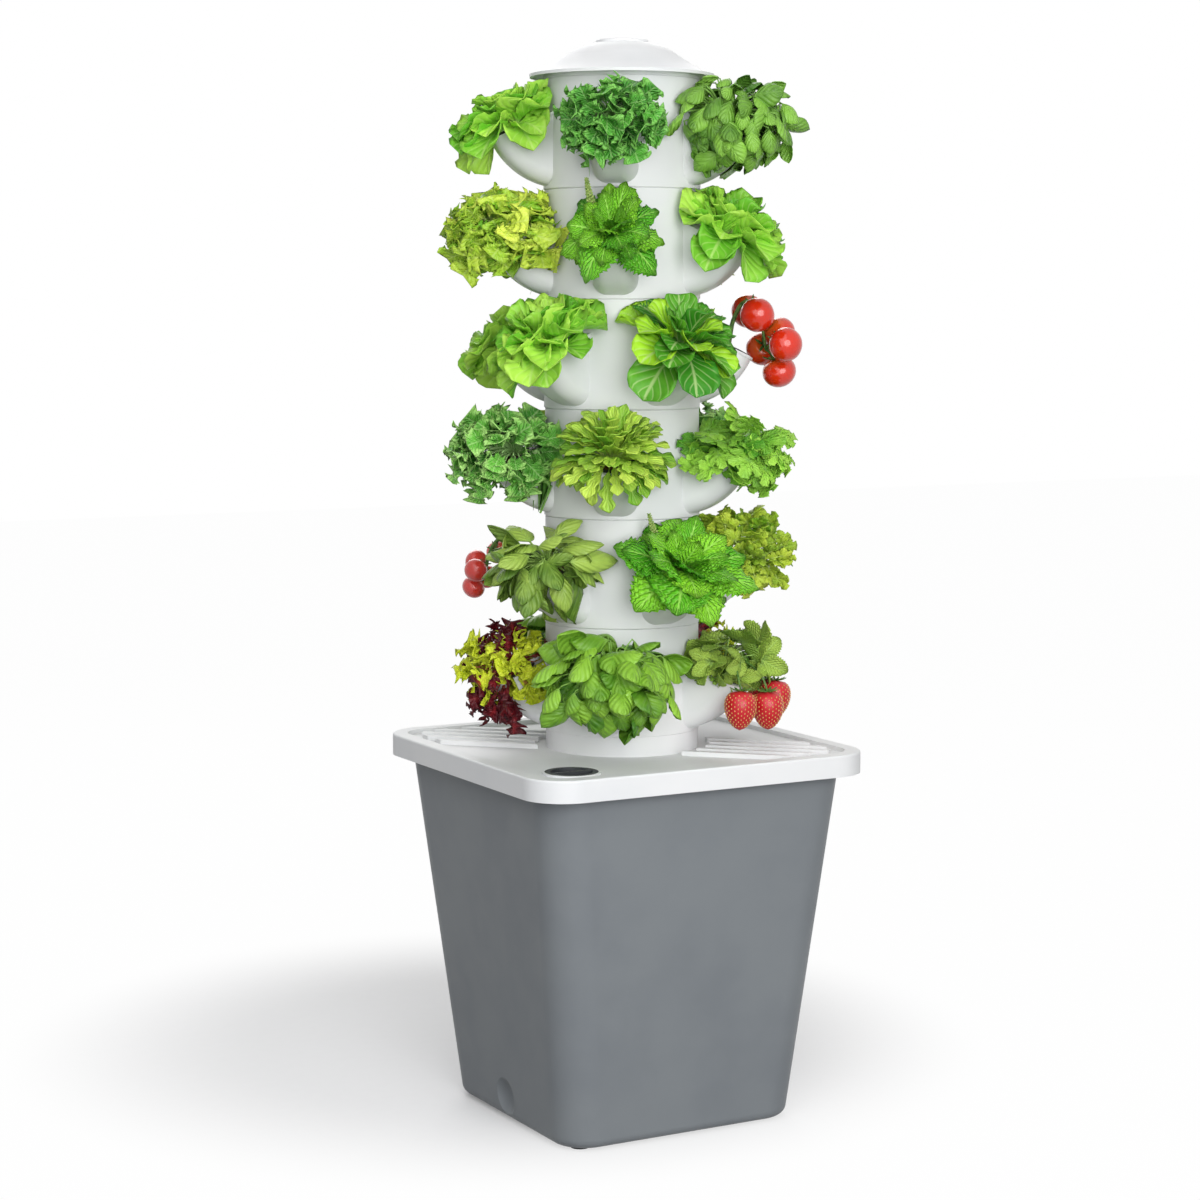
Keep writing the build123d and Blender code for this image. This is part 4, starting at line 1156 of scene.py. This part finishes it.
# %% Strawberries
BERRY_NODE = "tier_6_strawberry_plant"
BERRY_TIER = 6
BERRY_POCKET = 1
BERRY_SPOTS = ((166, -48, 57), (185, -13, 53), (181, 24, 61), (156, 53, 57))
BERRY_TILTS = (-5, 4, -4, 5)
BERRY_LENGTH = 0.045
BERRY_HALF = 0.0184
BERRY_BELLY = 0.36
BERRY_TIP = 0.62
BERRY_ROWS = 18
BERRY_SIDES = 28
PIT = 0.0006
SEED_DEPTH = 0.0002
HEART = (0.138, 0.0, 0.088)
BERRY_SEPALS = 8
BERRY_SEPAL = 0.014
BERRY_SEPAL_LIFT = -0.1
SEPAL_GAP = 0.0002
STALK_SUNK = np.array((0, 0, 0.001))
STALK_ARCH = np.array((-0.006, 0, 0.030))
BERRY_STALK_RADII = (0.0012, 0.0015)
SEED = turned([(0, 0.0011), (0.0004, 0.0008), (0.0007, 0.0), (0.0005, -0.0008), (0, -0.0011)], 6)


def berry():
    """The berry's form hanging from the origin, and its pits as (place, outward) pairs."""
    share = np.linspace(0, 1, BERRY_ROWS + 1)
    peak = BERRY_BELLY / (BERRY_BELLY + BERRY_TIP)
    widest = peak ** BERRY_BELLY * (1 - peak) ** BERRY_TIP
    radii = BERRY_HALF * share ** BERRY_BELLY * (1 - share) ** BERRY_TIP / widest
    form = turned(list(zip(radii, -BERRY_LENGTH * share)), BERRY_SIDES)
    pits = []
    for row in range(2, BERRY_ROWS - 1):
        for side in range(row % 2, BERRY_SIDES, 2):
            index = 1 + (row - 1) * BERRY_SIDES + side
            spot = form.points[index].copy()
            lean = (radii[row + 1] - radii[row - 1]) / (2 * BERRY_LENGTH / BERRY_ROWS)
            outward = np.array((spot[0], spot[1], np.hypot(spot[0], spot[1]) * lean))
            outward /= np.linalg.norm(outward)
            form.points[index] -= outward * PIT
            pits.append((spot - outward * SEED_DEPTH, outward))
    return form, pits


def add_set(name, sprouts, shape, finish, tier, pocket, node):
    """A piece of one small shape that the foliage tree sets on many points."""
    mesh = crown_mesh(name, sprouts, [shape], finish)
    mesh.transform(pocket_place(tier, pocket))
    add_piece(name, mesh, tier, node)
    print(name, len(sprouts), "set")


berry_form, berry_pits = berry()
fruit, green, seeds = [], [], []
for spot, tilt in zip(BERRY_SPOTS, BERRY_TILTS):
    top = np.array(spot) / 1000
    place = Matrix.Translation(Vector(top)) @ Matrix.Rotation(radians(tilt), 4, "X")
    star = calyx(BERRY_SEPAL, BERRY_SEPALS, BERRY_SEPAL_LIFT)
    fruit.append(berry_form.moved(place))
    green.append(star.moved(place @ Matrix.Translation((0, 0, SEPAL_GAP))))
    green.append(stem(bent(top - STALK_SUNK, top + STALK_ARCH, HEART), *BERRY_STALK_RADII))
    turn = place.to_3x3().normalized()
    for pit, outward in berry_pits:
        seeds.append(sprout(place @ Vector(pit), turn @ Vector(outward), (0, 0, 1)))
add_formed("tier_6_strawberry_berries", fruit, BERRY_SKIN, BERRY_TIER, BERRY_POCKET, BERRY_NODE)
add_formed("tier_6_strawberry_stalks", green, VINE_GREEN, BERRY_TIER, BERRY_POCKET, BERRY_NODE)
add_set("tier_6_strawberry_seeds", seeds, SEED, SEED_YELLOW, BERRY_TIER, BERRY_POCKET, BERRY_NODE)

# %% [markdown]
# Mint flowers on short spikes: a stem ringed with tiny buds. The buds are set in a spiral up the stem, by
# the same tree that sets the leaves.

# %% Mint flower spikes
SPIKES = [("tier_2_mint", 2, 0, ((120, -16, 74), (114, -26, 108), (112, -30, 133))),
          ("tier_2_mint", 2, 3, ((120, 12, 74), (114, 18, 108), (113, 20, 131))),
          ("tier_5_mint", 5, 0, ((118, -10, 74), (110, -24, 104), (108, -30, 133)))]
BUD = turned([(0, 0.0030), (0.0012, 0.0020), (0.0017, 0.0006), (0.0012, -0.0008), (0, -0.0014)], 6)
BUDS = 64
BUD_OUT = 0.003
BUD_RISE = 0.5
BARE_STEM = 0.42
LARGEST_BUD = 1.05
BUD_TAPER = 0.6
SPIKE_STEPS = 12
SPIKE_RADII = (0.0016, 0.0010)

for node, tier, pocket, way in SPIKES:
    path = bent(*(np.array(point) / 1000 for point in way), steps=SPIKE_STEPS)
    buds = []
    for index in range(BUDS):
        spot = (BARE_STEM + (1 - BARE_STEM) * index / BUDS) * (len(path) - 1)
        low = min(int(spot), len(path) - 2)
        base = path[low] + (path[low + 1] - path[low]) * (spot - low)
        angle = index * GOLDEN_ANGLE
        out = Vector((cos(angle), sin(angle), BUD_RISE))
        size = LARGEST_BUD - BUD_TAPER * index / BUDS
        buds.append(sprout(Vector(base) + out * BUD_OUT * size, (-out.y, out.x, 0), out, size))
    name = f"{node}_spike_{pocket}"
    add_set(name, buds, BUD, SPIKE_GREEN, tier, pocket, node)
    add_formed(name + "_stem", [stem(path, *SPIKE_RADII)], SPIKE_GREEN, tier, pocket, node)
print("flower spikes:", len(SPIKES))

# %% [markdown]
# The picture's ground is white and shows only a soft grey shadow round the tub. Near the tower the floor
# is a plain white surface that takes the shadow; further out it turns into the white of the world, so
# that no horizon shows. More light would also bleach the plastic, so the white comes from the floor and
# the world. A white floor would throw much light back up at the tub, so the light that it returns is that
# of a grey one.

# %% Floor
FLOOR_HALF = 9.0
SHADOW_SPOT = (0.0, 0.34, 0.0)
SHADOW_REACH = (0.28, 0.64)
NEAR_WHITE = 0.18
MORE_WHITE = 0.80


def floor_finish():
    made = Finish("studio_floor")
    place = made.place()
    out = made.node("ShaderNodeVectorMath", {"operation": "DISTANCE"}, {0: place, 1: SHADOW_SPOT},
                    out="Value")
    seen = made.seen_directly()
    tone = made.mix(made.noise(60, 3), paint(246, 246, 247), paint(250, 250, 251))
    plain = made.node("ShaderNodeBsdfPrincipled", sockets={
        "Base Color": made.mix(seen, paint(106, 107, 108), tone),
        "Roughness": 0.7,
        "Specular IOR Level": 0.2,
    })
    white = made.node("ShaderNodeEmission", sockets={"Strength": 1.0})
    share = (out.band(*SHADOW_REACH) * MORE_WHITE + NEAR_WHITE) * seen
    shader = made.node("ShaderNodeMixShader", sockets={0: share, 1: plain, 2: white})
    made.node("ShaderNodeOutputMaterial", sockets={0: shader})
    return made.material


floor_mesh = bpy.data.meshes.new("floor")
corners = [(x * FLOOR_HALF, y * FLOOR_HALF, 0) for x, y in ((-1, -1), (1, -1), (1, 1), (-1, 1))]
floor_mesh.from_pydata(corners, [], [(0, 1, 2, 3)])
floor_mesh.materials.append(floor_finish())
floor = bpy.data.objects.new("floor", floor_mesh)
bpy.context.scene.collection.objects.link(floor)
print("floor:", 2 * FLOOR_HALF, "m wide")

# %% [markdown]
# The light is a studio's. A large soft lamp stands low in front, on the side of the tub's lighter face,
# and a weaker one stands to the left, so that the corner between the two faces shows. One hangs high on
# the left for the cap, the lid and the tops of the leaves, one lights the back, and an even white world
# fills the shadows.

# %% Lamps and world
WORLD_FILL = 0.27
LAMP_AIM = Vector((0, 0, 0.77))


def lamp(name, at, size, power):
    """A round soft lamp that looks at the tower's middle. Its size is in metres, its power in watts."""
    light = bpy.data.lights.new(name, "AREA")
    light.shape = "DISK"
    light.size = size
    light.energy = power
    made = bpy.data.objects.new(name, light)
    made.location = at
    made.rotation_euler = (LAMP_AIM - Vector(at)).to_track_quat("-Z", "Y").to_euler()
    bpy.context.scene.collection.objects.link(made)
    print("lamp", name, power, "W")


lamp("front", (-0.5, -3.3, 1.3), 2.4, 73)
lamp("low_left", (-2.0, -2.6, 1.2), 2.4, 21)
lamp("high_left", (-1.7, -1.9, 3.4), 3.2, 38)
lamp("back", (0.8, 2.6, 2.4), 2.4, 30)

world = bpy.data.worlds.new("studio_world")
air = Finish("studio_air", world)
fill = air.node("ShaderNodeBackground", sockets={"Color": (1, 1, 1, 1), "Strength": WORLD_FILL})
white = air.node("ShaderNodeBackground", sockets={"Color": (1, 1, 1, 1), "Strength": 1.0})
choice = air.node("ShaderNodeMixShader", sockets={0: air.seen_directly(), 1: fill, 2: white})
air.node("ShaderNodeOutputWorld", sockets={0: choice})
bpy.context.scene.world = world
